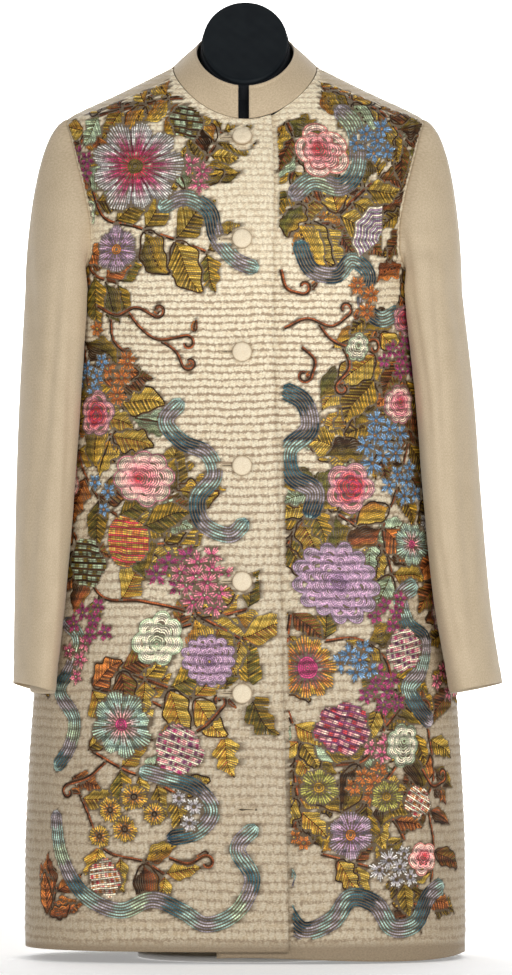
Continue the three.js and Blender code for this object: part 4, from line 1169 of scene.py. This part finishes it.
# Branches of leaves: path, leaf tone, leaf length, width and the gap between pairs.
branches = {
    -1: [
        ([(-30, 915), (-70, 926), (-112, 918), (-160, 908)], "gold", 34, 15, 15),
        ([(-62, 826), (-34, 870), (-24, 890)], "olive", 30, 14, 19),
        ([(-178, 850), (-160, 800), (-120, 788), (-70, 772), (-40, 760)], "olive", 44, 21, 21),
        ([(-196, 780), (-176, 740), (-140, 728)], "moss", 38, 18, 18),
        ([(-206, 720), (-188, 660), (-176, 610), (-146, 566)], "gold", 42, 19, 17),
        ([(-176, 640), (-140, 604), (-118, 570)], "olive", 40, 20, 18),
        ([(-204, 580), (-184, 530), (-150, 490), (-108, 470)], "moss", 42, 20, 18),
        ([(-128, 486), (-88, 500), (-62, 520)], "olive", 38, 18, 18),
        ([(-200, 470), (-160, 400), (-110, 392), (-58, 380), (-4, 352)], "gold", 40, 18, 17),
        ([(-120, 440), (-90, 452), (-60, 446)], "olive", 34, 15, 16),
        ([(-70, 364), (-40, 372), (4, 384)], "olive", 38, 17, 17),
        ([(-132, 320), (-90, 304), (-40, 288), (2, 296)], "moss", 40, 18, 18),
        ([(-166, 300), (-110, 290), (-70, 272), (-22, 254)], "gold", 40, 18, 18),
        ([(-170, 236), (-128, 214), (-104, 206), (-74, 190)], "olive", 34, 15, 17),
        ([(-190, 206), (-172, 172), (-150, 130), (-108, 118), (-84, 104)], "gold", 36, 16, 16),
        ([(-222, 60), (-208, 92)], "rust", 30, 11, 14),
        ([(-246, 720), (-238, 620), (-248, 520), (-240, 430)], "moss", 42, 20, 20),
        ([(-262, 420), (-250, 360), (-258, 320)], "olive", 36, 17, 20),
        ([(-164, 902), (-186, 876), (-190, 830)], "gold", 34, 15, 16),
        ([(-84, 936), (-106, 928), (-132, 918)], "olive", 26, 12, 12),
    ],
    1: [
        ([(44, 900), (56, 868), (48, 836), (62, 812)], "olive", 34, 17, 17),
        ([(116, 922), (146, 912), (176, 880)], "gold", 36, 15, 15),
        ([(100, 800), (128, 826), (160, 850), (178, 868)], "olive", 40, 19, 19),
        ([(50, 796), (84, 790), (120, 796)], "gold", 42, 22, 21),
        ([(188, 828), (192, 780), (182, 730)], "gold", 34, 15, 15),
        ([(190, 740), (176, 690), (186, 640), (176, 580)], "brown", 40, 18, 14),
        ([(156, 700), (144, 640), (152, 590), (130, 548), (96, 540)], "brown", 42, 20, 15),
        ([(120, 640), (128, 592), (104, 560)], "gold", 40, 19, 17),
        ([(188, 560), (164, 500), (150, 470), (160, 420)], "brown", 40, 18, 14),
        ([(84, 520), (60, 480), (44, 452)], "moss", 36, 17, 17),
        ([(84, 492), (120, 470), (148, 448)], "olive", 34, 15, 16),
        ([(48, 380), (44, 348), (40, 300), (50, 262)], "gold", 34, 15, 16),
        ([(84, 350), (120, 352), (152, 330), (160, 290)], "olive", 38, 17, 16),
        ([(132, 300), (150, 262), (128, 226), (96, 220)], "brown", 38, 17, 14),
        ([(188, 300), (186, 260), (160, 214), (128, 180)], "brown", 38, 17, 14),
        ([(58, 244), (52, 212), (58, 170)], "gold", 36, 16, 16),
        ([(96, 226), (120, 200), (160, 160), (172, 140)], "olive", 34, 15, 15),
        ([(80, 126), (110, 118), (144, 108), (172, 96)], "gold", 32, 14, 15),
        ([(204, 170), (212, 130), (206, 92), (198, 62)], "rust", 34, 12, 14),
        ([(246, 700), (238, 600), (248, 500), (240, 420)], "brown", 42, 20, 18),
        ([(262, 400), (248, 350), (256, 300)], "olive", 36, 17, 19),
        ([(206, 260), (214, 210), (204, 186)], "moss", 34, 15, 15),
        ([(82, 936), (104, 930), (130, 918)], "gold", 28, 13, 12),
        ([(46, 232), (60, 206), (52, 160)], "brown", 32, 14, 14),
        ([(160, 110), (186, 92), (206, 66)], "brown", 32, 14, 14),
    ],
}
leafHabit = {
    "lean": (0.55, 1.1), "grow": (0.75, 1.2), "longer": 1.22, "wider": 1.42, "own": 0.6,
    "bend": (0.05, 0.3),
    "hatched": 0.7, "outlined": 0.22, "leftOut": 0.08, "leftOutLow": 0.2, "leftOutSide": 0.08,
    "bright": (0.62, 1.2),
}


# The flowers, turned by chance, with fans and checked blooms near upright.
def workFlowers(side):
    for kind, run, z, radius in flowers[side]:
        turned = math.pi * 0.85 if kind == "fan" else chance.uniform(0, 6)
        if kind.endswith("Check"):
            turned = chance.uniform(-0.5, 0.5)
        work(side, flowerKinds[kind](radius), (run, z), turned, 0.0 if kind == "fan" else 0.055)


# Clusters of stars: the k-th stands 2.4 k round and spread sqrt(k / count) out.
def workStars(side):
    for kind, run, z, spread, count, radius in stars[side]:
        count = int(count * 0.75)
        for k in range(count):
            way, far = 2.4 * k, spread * math.sqrt((k + 0.3) / count)
            star = flowerKinds[kind](radius * chance.uniform(1.05, 1.4))
            work(side, star, (run + far * math.cos(way), z + far * math.sin(way)), chance.uniform(0, 6))


# Ribbons, then tendrils with a small leaf near each tip.
def workRibbons(side):
    for kind, path in ribbons[side]:
        lines = int(chance.integers(6, 8))
        work(side, ribbonRows(path, ribbonTones[kind], lines=lines, band=chance.uniform(14, 20)))
    for path, curl in tendrils[side]:
        work(side, stemRows(path, curl=curl))
        tip = np.array(path[-1]) + chance.uniform(-8, 8, 2)
        work(side, leafRows(13, 7, leafTones["rust"], hatch=False), tip, chance.uniform(0, 6))


# Branches: pairs of leaves along a stem, darker towards the side seam and sparser low down.
def workBranches(side):
    for path, kind, length, width, gap in branches[side]:
        line = smoothPath(path, gap * 1.4)
        for k, (p, n) in enumerate(zip(line, sideways(line))):
            for way in ((1, -1) if k % 2 else (-1, 1)):
                lean = math.atan2(n[1], n[0]) - math.pi / 2 + way * chance.uniform(*leafHabit["lean"])
                grow = chance.uniform(*leafHabit["grow"])
                dark = chance.random() < easeStep((abs(p[0]) - 120) / 90) * 0.75
                others = ["brown", "rust", "umber"] if dark else ["olive", "gold", "sage", "moss", "umber"]
                other = str(chance.choice(others))
                names = leafTones[kind if chance.random() < leafHabit["own"] and not dark else other]
                leaf = leafRows(
                    length * grow * leafHabit["longer"], width * grow * leafHabit["wider"], names,
                    way * chance.uniform(*leafHabit["bend"]),
                    chance.random() < leafHabit["hatched"], chance.random() < leafHabit["outlined"],
                )
                leftOut = leafHabit["leftOut"] + leafHabit["leftOutLow"] * (p[1] < 430)
                if chance.random() > leftOut + leafHabit["leftOutSide"] * (abs(p[0]) > 150):
                    work(side, leaf, p + 2.0 * way * n, lean, bright=chance.uniform(*leafHabit["bright"]))
        work(side, stemRows(path))


for side in (-1, 1):
    workFlowers(side)
    workStars(side)
    workRibbons(side)
    workBranches(side)


# The thread's mesh: three points across each place on a row, the middle one highest, over the ribs.
def makeThread(side, name, part, parts):
    store = worked[side]
    points, tone, row = np.vstack(store["points"]), np.vstack(store["tone"]), np.concatenate(store["row"])
    along, across = np.concatenate(store["along"]), np.vstack(store["across"])
    live = np.flatnonzero((row[:-1] == row[1:]) & (row[:-1] >= 0))
    live = np.array_split(live, parts)[part]
    used = np.unique(np.concatenate([live, live + 1]))
    number = np.full(len(row), -1)
    number[used] = np.arange(len(used))
    points, tone, along, across, row = points[used], tone[used], along[used], across[used], row[used]
    width = stitch["halfWidth"] + 0.09 * np.sin(row * 5.3)
    place = points[:, None] + across[:, None] * (np.array([-1.0, 0.0, 1.0]) * width[:, None])[..., None]
    run, z = place[..., 0], place[..., 1]
    turn = turnAtRun(run, z)
    x = sectionPoint(body, turn, z)[..., 0]
    rise = ribLift(run, z)
    swell = stitch["swell"] * np.abs(np.sin(along * math.pi))[:, None]
    uneven = 0.06 * np.sin(row * 2.7)[:, None]
    lift = 0.8 * rise + np.array(stitch["lift"]) + swell * np.array([0.2, 1, 0.2]) + uneven
    lift = lift + frontCrease(run, z, x)
    if side > 0:
        lift = lift + lapDrop(x, z)
    # painted shade: thread lying in a rib's furrow is darkened, and lightened a little on the crests
    furrowShade = 0.4 + 0.72 * easeStep(rise[:, 1] / 0.62)
    shade = (tone * furrowShade[:, None]).repeat(3, 0)
    a, b = number[live] * 3, number[live + 1] * 3
    faces = np.vstack([np.stack([a + k, b + k, b + k + 1, a + k + 1], -1) for k in (0, 1)])
    rowNumber = np.tile([0.01, 0.5, 0.99], (len(along), 1)) + row[:, None] % 997
    uv = np.stack([along[:, None].repeat(3, 1), rowNumber], -1)
    makeMesh(name, onCoat(turn, z, lift), faces, uv=uv, colour=shade)


threadPieces = []
for side, front in ((-1, "rightFront"), (1, "leftFront")):
    for part, kind in enumerate(("Flowers", "Leaves")):
        threadPieces.append(front + kind)
        makeThread(side, front + kind, part, 2)
        print(front + kind, len(pieces[front + kind].data.polygons) * 2, "triangles")

# Painted shade between the rows: the ground is darkened where thread lies within 1 mm; 1 there, read at the
# cloth's own points.
for name, side in (("rightFront", -1), ("leftFront", 1)):
    run, z = frontPlaces[name]
    i = np.clip(np.round(z).astype(int), 0, 979)
    j = np.clip(np.round(run).astype(int) + 360, 0, 719)
    layer = pieces[name].data.attributes.new(name="worked", type="FLOAT", domain="POINT")
    layer.data.foreach_set("value", taken[side][i, j].astype(np.float32).ravel())
print("embroidery made")


# Links a socket to an input, or gives it a plain value.
def setInput(tree, socket, value):
    if isinstance(value, bpy.types.NodeSocket):
        tree.links.new(value, socket)
    else:
        socket.default_value = value


# A node with its plain inputs set by position or name, and its sockets linked.
def addNode(tree, kind, settings=None, **inputs):
    node = tree.nodes.new(kind)
    for key, value in (settings or {}).items():
        setattr(node, key, value)
    for key, value in inputs.items():
        numbered = key[0] == "i" and key[1:].isdigit()
        setInput(tree, node.inputs[int(key[1:]) if numbered else key.replace("_", " ")], value)
    return node


# The result of a sum on one, two or three values.
def mathNode(tree, operation, a, b=0.0, c=None):
    inputs = {"i0": a, "i1": b}
    if c is not None:
        inputs["i2"] = c
    return addNode(tree, "ShaderNodeMath", {"operation": operation}, **inputs).outputs[0]


# Two colours mixed by a share.
def mixColour(tree, share, a, b, blend="MIX"):
    node = addNode(tree, "ShaderNodeMix", {"data_type": "RGBA", "blend_type": blend}, i0=share)
    for index, value in ((6, a), (7, b)):
        setInput(tree, node.inputs[index], (*value, 1) if isinstance(value, tuple) else value)
    return node.outputs[2]


# A value's place between low and high, stretched to run from toLow to toHigh.
def stretchRange(tree, value, low, high, toLow=0.0, toHigh=1.0):
    node = addNode(tree, "ShaderNodeMapRange", None, i0=value, i1=low, i2=high, i3=toLow, i4=toHigh)
    return node.outputs[0]


# Noise in the plane, from 0 to 1.
def noiseNode(tree, vector, scale, detail):
    settings = {"noise_dimensions": "2D"}
    return addNode(tree, "ShaderNodeTexNoise", settings, Vector=vector, Scale=scale, Detail=detail).outputs[0]


# A vector multiplied by a number.
def scaleVector(tree, vector, scale):
    return addNode(tree, "ShaderNodeVectorMath", {"operation": "SCALE"}, i0=vector, i3=scale).outputs[0]


def clothUv(tree):
    return addNode(tree, "ShaderNodeUVMap", {"uv_map": "cloth"}).outputs[0]


def attributeNode(tree, name):
    return addNode(tree, "ShaderNodeAttribute", {"attribute_name": name}).outputs


fullTurn = 6.2832
halfTurn = 3.1416


# A twill weave: 0.32 sin(x + y) + 0.14 sin(x - y) at thread scale, with uneven threads and a shade from a
# slow and a fine noise.
def makeWeaveGroup():
    tree = bpy.data.node_groups.new("Twill weave", "ShaderNodeTree")
    for name, kind in (("Vector", "NodeSocketVector"), ("Threads per metre", "NodeSocketFloat")):
        tree.interface.new_socket(name, in_out="INPUT", socket_type=kind)
    for name in ("Height", "Shade"):
        tree.interface.new_socket(name, in_out="OUTPUT", socket_type="NodeSocketFloat")
    source, result = tree.nodes.new("NodeGroupInput"), tree.nodes.new("NodeGroupOutput")
    scaled = scaleVector(tree, source.outputs[0], source.outputs[1])
    uneven = noiseNode(tree, scaled, 0.35, 1.0)
    part = addNode(tree, "ShaderNodeSeparateXYZ", None, i0=scaled)
    slant = mathNode(tree, "ADD", part.outputs[0], mathNode(tree, "ADD", part.outputs[1], uneven))
    ridge = mathNode(tree, "SINE", mathNode(tree, "MULTIPLY", slant, fullTurn))
    counter = mathNode(tree, "SUBTRACT", part.outputs[0], part.outputs[1])
    cross = mathNode(tree, "SINE", mathNode(tree, "MULTIPLY", counter, fullTurn))
    height = mathNode(tree, "MULTIPLY_ADD", ridge, 0.32, mathNode(tree, "MULTIPLY_ADD", cross, 0.14, 0.5))
    slow = noiseNode(tree, source.outputs[0], 38.0, 4.0)
    fine = noiseNode(tree, scaled, 0.8, 2.0)
    slow = mathNode(tree, "MULTIPLY", slow, 0.25)
    shade = mathNode(tree, "ADD", slow, mathNode(tree, "MULTIPLY", fine, 0.75))
    tree.links.new(height, result.inputs[0])
    tree.links.new(shade, result.inputs[1])
    return tree


# Ribs and beads from the cloth's uv: crest = 0.5 + 0.5 cos(2 pi v), v wavering by a noise; beads from a cell
# pattern and joints at each whole u, slipped from rib to rib.
def makeRibGroup():
    tree = bpy.data.node_groups.new("Beaded ribs", "ShaderNodeTree")
    tree.interface.new_socket("Vector", in_out="INPUT", socket_type="NodeSocketVector")
    for name in ("Crest", "Bead", "Fleck", "Height"):
        tree.interface.new_socket(name, in_out="OUTPUT", socket_type="NodeSocketFloat")
    source, result = tree.nodes.new("NodeGroupInput"), tree.nodes.new("NodeGroupOutput")
    part = addNode(tree, "ShaderNodeSeparateXYZ", None, i0=source.outputs[0])
    wobble = noiseNode(tree, source.outputs[0], 1.3, 3.0)
    phase = mathNode(tree, "MULTIPLY_ADD", wobble, 0.3, mathNode(tree, "ADD", part.outputs[1], -0.15))
    wave = mathNode(tree, "COSINE", mathNode(tree, "MULTIPLY", phase, fullTurn))
    crest = mathNode(tree, "MULTIPLY_ADD", wave, 0.5, 0.5)
    flat = {"voronoi_dimensions": "2D"}
    cells = addNode(tree, "ShaderNodeTexVoronoi", flat, Vector=source.outputs[0], Scale=1.15, Randomness=0.8)
    number = mathNode(tree, "ROUND", part.outputs[1])
    scattered = mathNode(tree, "SINE", mathNode(tree, "MULTIPLY", number, 12.9898))
    slip = mathNode(tree, "MULTIPLY_ADD", wobble, 5.0, mathNode(tree, "MULTIPLY", scattered, 43.7))
    turn = mathNode(tree, "MULTIPLY_ADD", part.outputs[0], fullTurn, slip)
    joint = stretchRange(tree, mathNode(tree, "COSINE", turn), -0.98, -0.55)
    cellTone = mathNode(tree, "SUBTRACT", 1.0, mathNode(tree, "MULTIPLY", cells.outputs[0], 0.9))
    bead = mathNode(tree, "MULTIPLY", cellTone, mathNode(tree, "MULTIPLY_ADD", joint, 0.62, 0.38))
    multiply = {"operation": "MULTIPLY"}
    stretched = addNode(tree, "ShaderNodeVectorMath", multiply, i0=source.outputs[0], i1=(3.0, 7.0, 1.0))
    fleck = noiseNode(tree, stretched.outputs[0], 1.0, 3.0)
    strand = mathNode(tree, "MULTIPLY_ADD", part.outputs[0], 26.0, mathNode(tree, "MULTIPLY", phase, 16.0))
    twist = mathNode(tree, "SINE", strand)
    relief = mathNode(tree, "ADD", mathNode(tree, "MULTIPLY", bead, 0.5), fleck)
    height = mathNode(tree, "MULTIPLY_ADD", twist, 0.12, relief)
    for value, socket in zip((crest, bead, fleck, height), result.inputs):
        tree.links.new(value, socket)
    return tree


weaveGroup = makeWeaveGroup()
ribGroup = makeRibGroup()


def newMaterial(name):
    material = bpy.data.materials.new(name)
    material.use_nodes = True
    tree = material.node_tree
    return material, tree, tree.nodes["Principled BSDF"]


# The ribbed cloth's colours, in linear light, and the heights in metres over which they change.
ribColours = {
    "furrowShade": (0.45, 0.33, 0.215), "chestFurrowShade": (0.66, 0.52, 0.35), "lowFurrowShade": (0.56, 0.44, 0.30),
    "crest": (0.86, 0.70, 0.47), "glint": (1.0, 0.9, 0.68), "sides": (0.5, 0.4, 0.27),
    "lowPaintedShade": (0.68, 0.65, 0.635), "strip": (0.6, 0.475, 0.315), "shadeUnderThread": (0.08, 0.046, 0.02),
}
ribHeights = {"hem": (0.028, 0.017), "chest": (0.69, 0.76), "low": (0.55, 0.3), "lowPaintedShade": (0.66, 0.22)}


# The fronts' cloth: furrow to crest by a sharpened wave that flecks and beads break up, the furrows in
# painted shade, then painted highlights as glints, the plain hem and sides, painted shade darker and greyer
# low down, the shoulder's strip and painted shade between the thread rows.
def ribbedMaterial():
    material, tree, shader = newMaterial("ribbedCloth")
    rib = addNode(tree, "ShaderNodeGroup", {"node_tree": ribGroup}, Vector=clothUv(tree))
    crest, bead, fleck, relief = rib.outputs
    place = addNode(tree, "ShaderNodeTexCoord").outputs["Object"]
    x, _, z = addNode(tree, "ShaderNodeSeparateXYZ", None, i0=place).outputs
    sidePart = stretchRange(tree, mathNode(tree, "ABSOLUTE", x), 0.11, 0.21)
    plainHem = stretchRange(tree, z, *ribHeights["hem"])
    plain = mathNode(tree, "MAXIMUM", mathNode(tree, "MULTIPLY", sidePart, 0.55), plainHem)
    chest = stretchRange(tree, z, *ribHeights["chest"])
    low = stretchRange(tree, z, *ribHeights["low"])
    edge = mathNode(tree, "MULTIPLY_ADD", low, -0.2, mathNode(tree, "MULTIPLY_ADD", chest, -0.12, 0.14))
    broken = mathNode(tree, "MULTIPLY_ADD", fleck, 0.7, mathNode(tree, "MULTIPLY_ADD", bead, 0.5, -0.55))
    sharp = stretchRange(tree, mathNode(tree, "ADD", crest, broken), edge, 0.62)
    # painted shade: the furrows between the ribs are coloured darker than the crests, less so on the chest
    # and low down
    furrowShade = mixColour(tree, chest, ribColours["furrowShade"], ribColours["chestFurrowShade"])
    furrowShade = mixColour(tree, low, furrowShade, ribColours["lowFurrowShade"])
    tone = mixColour(tree, sharp, furrowShade, ribColours["crest"])
    # painted highlight: beads and flecks on the crests are lightened towards a glint colour
    glint = mathNode(tree, "MULTIPLY_ADD", bead, 0.6, mathNode(tree, "MULTIPLY", fleck, 0.8))
    glint = mathNode(tree, "MULTIPLY", stretchRange(tree, glint, 0.48, 0.92), sharp)
    tone = mixColour(tree, glint, tone, ribColours["glint"])
    tone = mixColour(tree, plain, tone, ribColours["sides"])
    # painted shade: the cloth is multiplied darker and greyer below about 0.66 m, fully so from 0.22 m down
    # to the hem
    lowShadeShare = stretchRange(tree, z, *ribHeights["lowPaintedShade"])
    tone = mixColour(tree, lowShadeShare, tone, ribColours["lowPaintedShade"], "MULTIPLY")
    tone = mixColour(tree, attributeNode(tree, "strip")[2], tone, ribColours["strip"])
    # painted shade between the thread rows: the ground is darkened nearly to black where thread lies
    threadShadeShare = mathNode(tree, "MULTIPLY", attributeNode(tree, "worked")[2], 0.84)
    tone = mixColour(tree, threadShadeShare, tone, ribColours["shadeUnderThread"])
    shade = stretchRange(tree, fleck, 0.3, 0.7, 0.86, 1.08)
    shader.inputs["Base Color"].default_value = (0.7, 0.6, 0.42, 1)
    tree.links.new(scaleVector(tree, tone, shade), shader.inputs["Base Color"])
    tree.links.new(stretchRange(tree, sharp, 0, 1, 0.66, 0.42), shader.inputs["Roughness"])
    shader.inputs["Specular IOR Level"].default_value = 0.22
    bump = addNode(tree, "ShaderNodeBump", None, Strength=0.7, Distance=0.0006, Height=relief)
    tree.links.new(bump.outputs[0], shader.inputs["Normal"])
    return material


# Plain woven cloth, jersey or paint: two tones mixed by the weave's shade, with painted shade past a rim
# where one is given, darkening a button's edge. The scale is in threads a metre.
def plainMaterial(name, base, lightTone, scale=700.0, roughness=0.62, sheen=0.25, useUv=True, rim=None):
    material, tree, shader = newMaterial(name)
    vector = clothUv(tree) if useUv else addNode(tree, "ShaderNodeTexCoord").outputs["Object"]
    weave = addNode(tree, "ShaderNodeGroup", {"node_tree": weaveGroup}, i0=vector, i1=scale)
    tone = mixColour(tree, stretchRange(tree, weave.outputs[1], 0.35, 0.65), base, lightTone)
    # painted shade: the tone is multiplied darker past the rim
    if rim:
        far = addNode(tree, "ShaderNodeVectorMath", {"operation": "LENGTH"}, i0=vector).outputs["Value"]
        tone = mixColour(tree, stretchRange(tree, far, *rim), tone, (0.46, 0.38, 0.30), "MULTIPLY")
    tree.links.new(tone, shader.inputs["Base Color"])
    shader.inputs["Roughness"].default_value = roughness
    shader.inputs["Sheen Weight"].default_value = sheen
    shader.inputs["Sheen Roughness"].default_value = 0.4
    shader.inputs["Specular IOR Level"].default_value = 0.5 if base[0] > 0.1 else 0.16
    bump = addNode(tree, "ShaderNodeBump", None, Strength=0.35, Distance=0.0003, Height=weave.outputs[0])
    tree.links.new(bump.outputs[0], shader.inputs["Normal"])
    return material


# Silk thread: its own colour, darker where one stitch enters the next, |sin(pi u)|, with painted shade
# towards its sides and a painted highlight along its middle, sin(pi v), and a shade by chance for each
# stitch.
def threadMaterial():
    material, tree, shader = newMaterial("silkThread")
    u, v, _ = addNode(tree, "ShaderNodeSeparateXYZ", None, i0=clothUv(tree)).outputs
    link = mathNode(tree, "ABSOLUTE", mathNode(tree, "SINE", mathNode(tree, "MULTIPLY", u, halfTurn)))
    middle = mathNode(tree, "SINE", mathNode(tree, "MULTIPLY", mathNode(tree, "FRACT", v), halfTurn))
    each = {"i0": mathNode(tree, "FLOOR", u), "i1": mathNode(tree, "FLOOR", v)}
    cell = addNode(tree, "ShaderNodeCombineXYZ", None, **each).outputs[0]
    byChance = addNode(tree, "ShaderNodeTexWhiteNoise", {"noise_dimensions": "2D"}, Vector=cell).outputs[0]
    # painted shade and highlight: dark at the thread's sides, brighter than its colour along the middle
    across = stretchRange(tree, middle, 0, 0.75, 0.3, 1.36)
    shade = mathNode(tree, "MULTIPLY", stretchRange(tree, link, 0, 0.7, 0.58, 1.08), across)
    shade = mathNode(tree, "MULTIPLY", shade, stretchRange(tree, byChance, 0, 1, 0.72, 1.24))
    scaled = scaleVector(tree, attributeNode(tree, "thread")[0], shade)
    tree.links.new(scaled, shader.inputs["Base Color"])
    shader.inputs["Roughness"].default_value = 0.5
    shader.inputs["Specular IOR Level"].default_value = 0.25
    return material


paint = {"sheen": 0.0, "useUv": False}  # for what takes its weave from object coordinates and has no nap
# painted shade: the button darkens from the first radius to its edge at the second
buttonRimShade = (0.0091, 0.0107)  # metres from the button's middle
materials = {
    "ribbed": ribbedMaterial(),
    "thread": threadMaterial(),
    "plain": plainMaterial("plainCloth", (0.545, 0.425, 0.275), (0.66, 0.53, 0.36)),
    "collar": plainMaterial("collarCloth", (0.56, 0.43, 0.275), (0.675, 0.535, 0.355)),
    "button": plainMaterial("buttonCloth", (0.82, 0.68, 0.47), (0.94, 0.81, 0.60), 900.0, 0.5, rim=buttonRimShade),
    "lips": plainMaterial("lipCloth", (0.56, 0.44, 0.285), (0.66, 0.53, 0.355), 900.0),
    "jersey": plainMaterial("formJersey", (0.005, 0.006, 0.008), (0.009, 0.011, 0.014), 1100.0, **paint),
    "lacquer": plainMaterial("capLacquer", (0.006, 0.009, 0.012), (0.009, 0.013, 0.016), 60.0, 0.55, **paint),
    "paint": plainMaterial("standPaint", (0.80, 0.79, 0.77), (0.84, 0.83, 0.81), 40.0, 0.45, **paint),
}
# Each piece's material, slot and the solid that it shows.
finish = {
    "rightFront": ("ribbed", "ribbed_cloth", "right_front"),
    "leftFront": ("ribbed", "ribbed_cloth", "left_front"),
    "back": ("plain", "plain_cloth", "back"), "collar": ("collar", "plain_cloth", "collar"),
    "rightSleeve": ("plain", "plain_cloth", "right_sleeve"),
    "leftSleeve": ("plain", "plain_cloth", "left_sleeve"),
    "formTorso": ("jersey", "form_jersey", "form_torso"),
    "formNeck": ("jersey", "form_jersey", "form_torso"),
    "neckCap": ("lacquer", "cap_lacquer", "neck_cap"), "standPole": ("paint", "stand_paint", "stand_pole"),
    "standBase": ("paint", "stand_paint", "stand_base"),
}
for i in range(6):
    finish["button" + str(i + 1)] = ("button", "button_cloth", "button_" + str(i + 1))
for name, (material, slot, node) in finish.items():
    pieces[name].data.materials.append(materials[material])
    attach(pieces[name], "root")
    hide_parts(node)
for name in lipPieces + threadPieces:
    pieces[name].data.materials.append(materials["lips" if name in lipPieces else "thread"])
    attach(pieces[name], "root")

# The camera, far off and level, so that the picture is nearly without perspective; sizes in metres.
view = {"distance": 9.0, "x": 0.0116, "z": 0.502, "pictureHeight": 1.043, "sensor": 36}
scene = bpy.context.scene
lens = bpy.data.cameras.new("camera")
camera = bpy.data.objects.new("camera", lens)
scene.collection.objects.link(camera)
camera.location = (view["x"], -view["distance"], view["z"])
camera.rotation_euler = (math.pi / 2, 0, 0)
lens.sensor_width = view["sensor"]
lens.lens = view["sensor"] * view["distance"] / view["pictureHeight"]
lens.clip_end = 60
scene.camera = camera

# Two soft lamps on the coat, and one each for the backdrop's wall and floor.
lights = {
    "keyLight": {"place": (1.25, -2.6, 1.55), "size": (1.1, 1.1), "power": 36.3, "target": (0, 0, 0.6)},
    "fillLight": {"place": (-2.0, -2.6, 1.55), "size": (1.4, 1.4), "power": 19.4, "target": (0, 0, 0.6)},
    "wallLight": {"place": (0, 8.6, 4.2), "size": (8, 1.2), "power": 620, "target": (0, 12, 0.8)},
    "floorLight": {"place": (0, 5.2, 4.4), "size": (7, 5), "power": 300, "target": (0, 5.6, 0)},
}
air = {"colour": (1, 1, 1, 1), "strength": 0.25}


# A rectangular lamp, turned from its place to its target.
def softLight(name, place, size, power, target):
    lamp = bpy.data.lights.new(name, "AREA")
    lamp.shape = "RECTANGLE"
    lamp.size, lamp.size_y = size
    lamp.energy = power
    piece = bpy.data.objects.new(name, lamp)
    scene.collection.objects.link(piece)
    piece.location = place
    aim = np.array(target) - place
    flat = math.hypot(aim[0], aim[1])
    heading = math.atan2(aim[1], aim[0])
    piece.rotation_euler = (math.pi / 2 + math.atan2(aim[2], flat), 0, heading - math.pi / 2)


for name, light in lights.items():
    softLight(name, **light)
world = bpy.data.worlds.new("studio")
scene.world = world
world.use_nodes = True
world.node_tree.nodes["Background"].inputs[0].default_value = air["colour"]
world.node_tree.nodes["Background"].inputs[1].default_value = air["strength"]
scene.view_settings.view_transform = "Standard"

# A floor that curves up into a backdrop.
backdrop = {"front": -14, "back": 12, "bend": 2.4, "top": 12, "halfWidth": 9.0, "drop": 0.05, "glow": 0.3}
bendStart = backdrop["back"] - backdrop["bend"]
bendTurn = np.linspace(0.1, math.pi / 2, 16)
flatPart = np.stack([np.linspace(backdrop["front"], bendStart, 12), np.zeros(12)], -1)
bendPart = np.stack([
    bendStart + backdrop["bend"] * np.sin(bendTurn),
    backdrop["bend"] - backdrop["bend"] * np.cos(bendTurn),
], -1)
sweep = np.concatenate([flatPart, bendPart, [[backdrop["back"], backdrop["top"]]]])
floorAcross = np.array([-backdrop["halfWidth"], backdrop["halfWidth"]])
floorGrid = np.stack([
    np.broadcast_to(floorAcross, (len(sweep), 2)),
    sweep[:, :1].repeat(2, 1),
    sweep[:, 1:].repeat(2, 1),
], -1) * 1000
floorGrid[..., 2] += floorDrop - backdrop["drop"]
floor = makeMesh("floor", floorGrid, gridFaces(len(sweep), 2))
floorPaper = plainMaterial("floorPaper", (0.86, 0.86, 0.86), (0.88, 0.88, 0.88), 30.0, 0.9, **paint)
floor.data.materials.append(floorPaper)
paper = floorPaper.node_tree.nodes["Principled BSDF"]
paper.inputs["Emission Color"].default_value = (1, 1, 1, 1)
paper.inputs["Emission Strength"].default_value = backdrop["glow"]
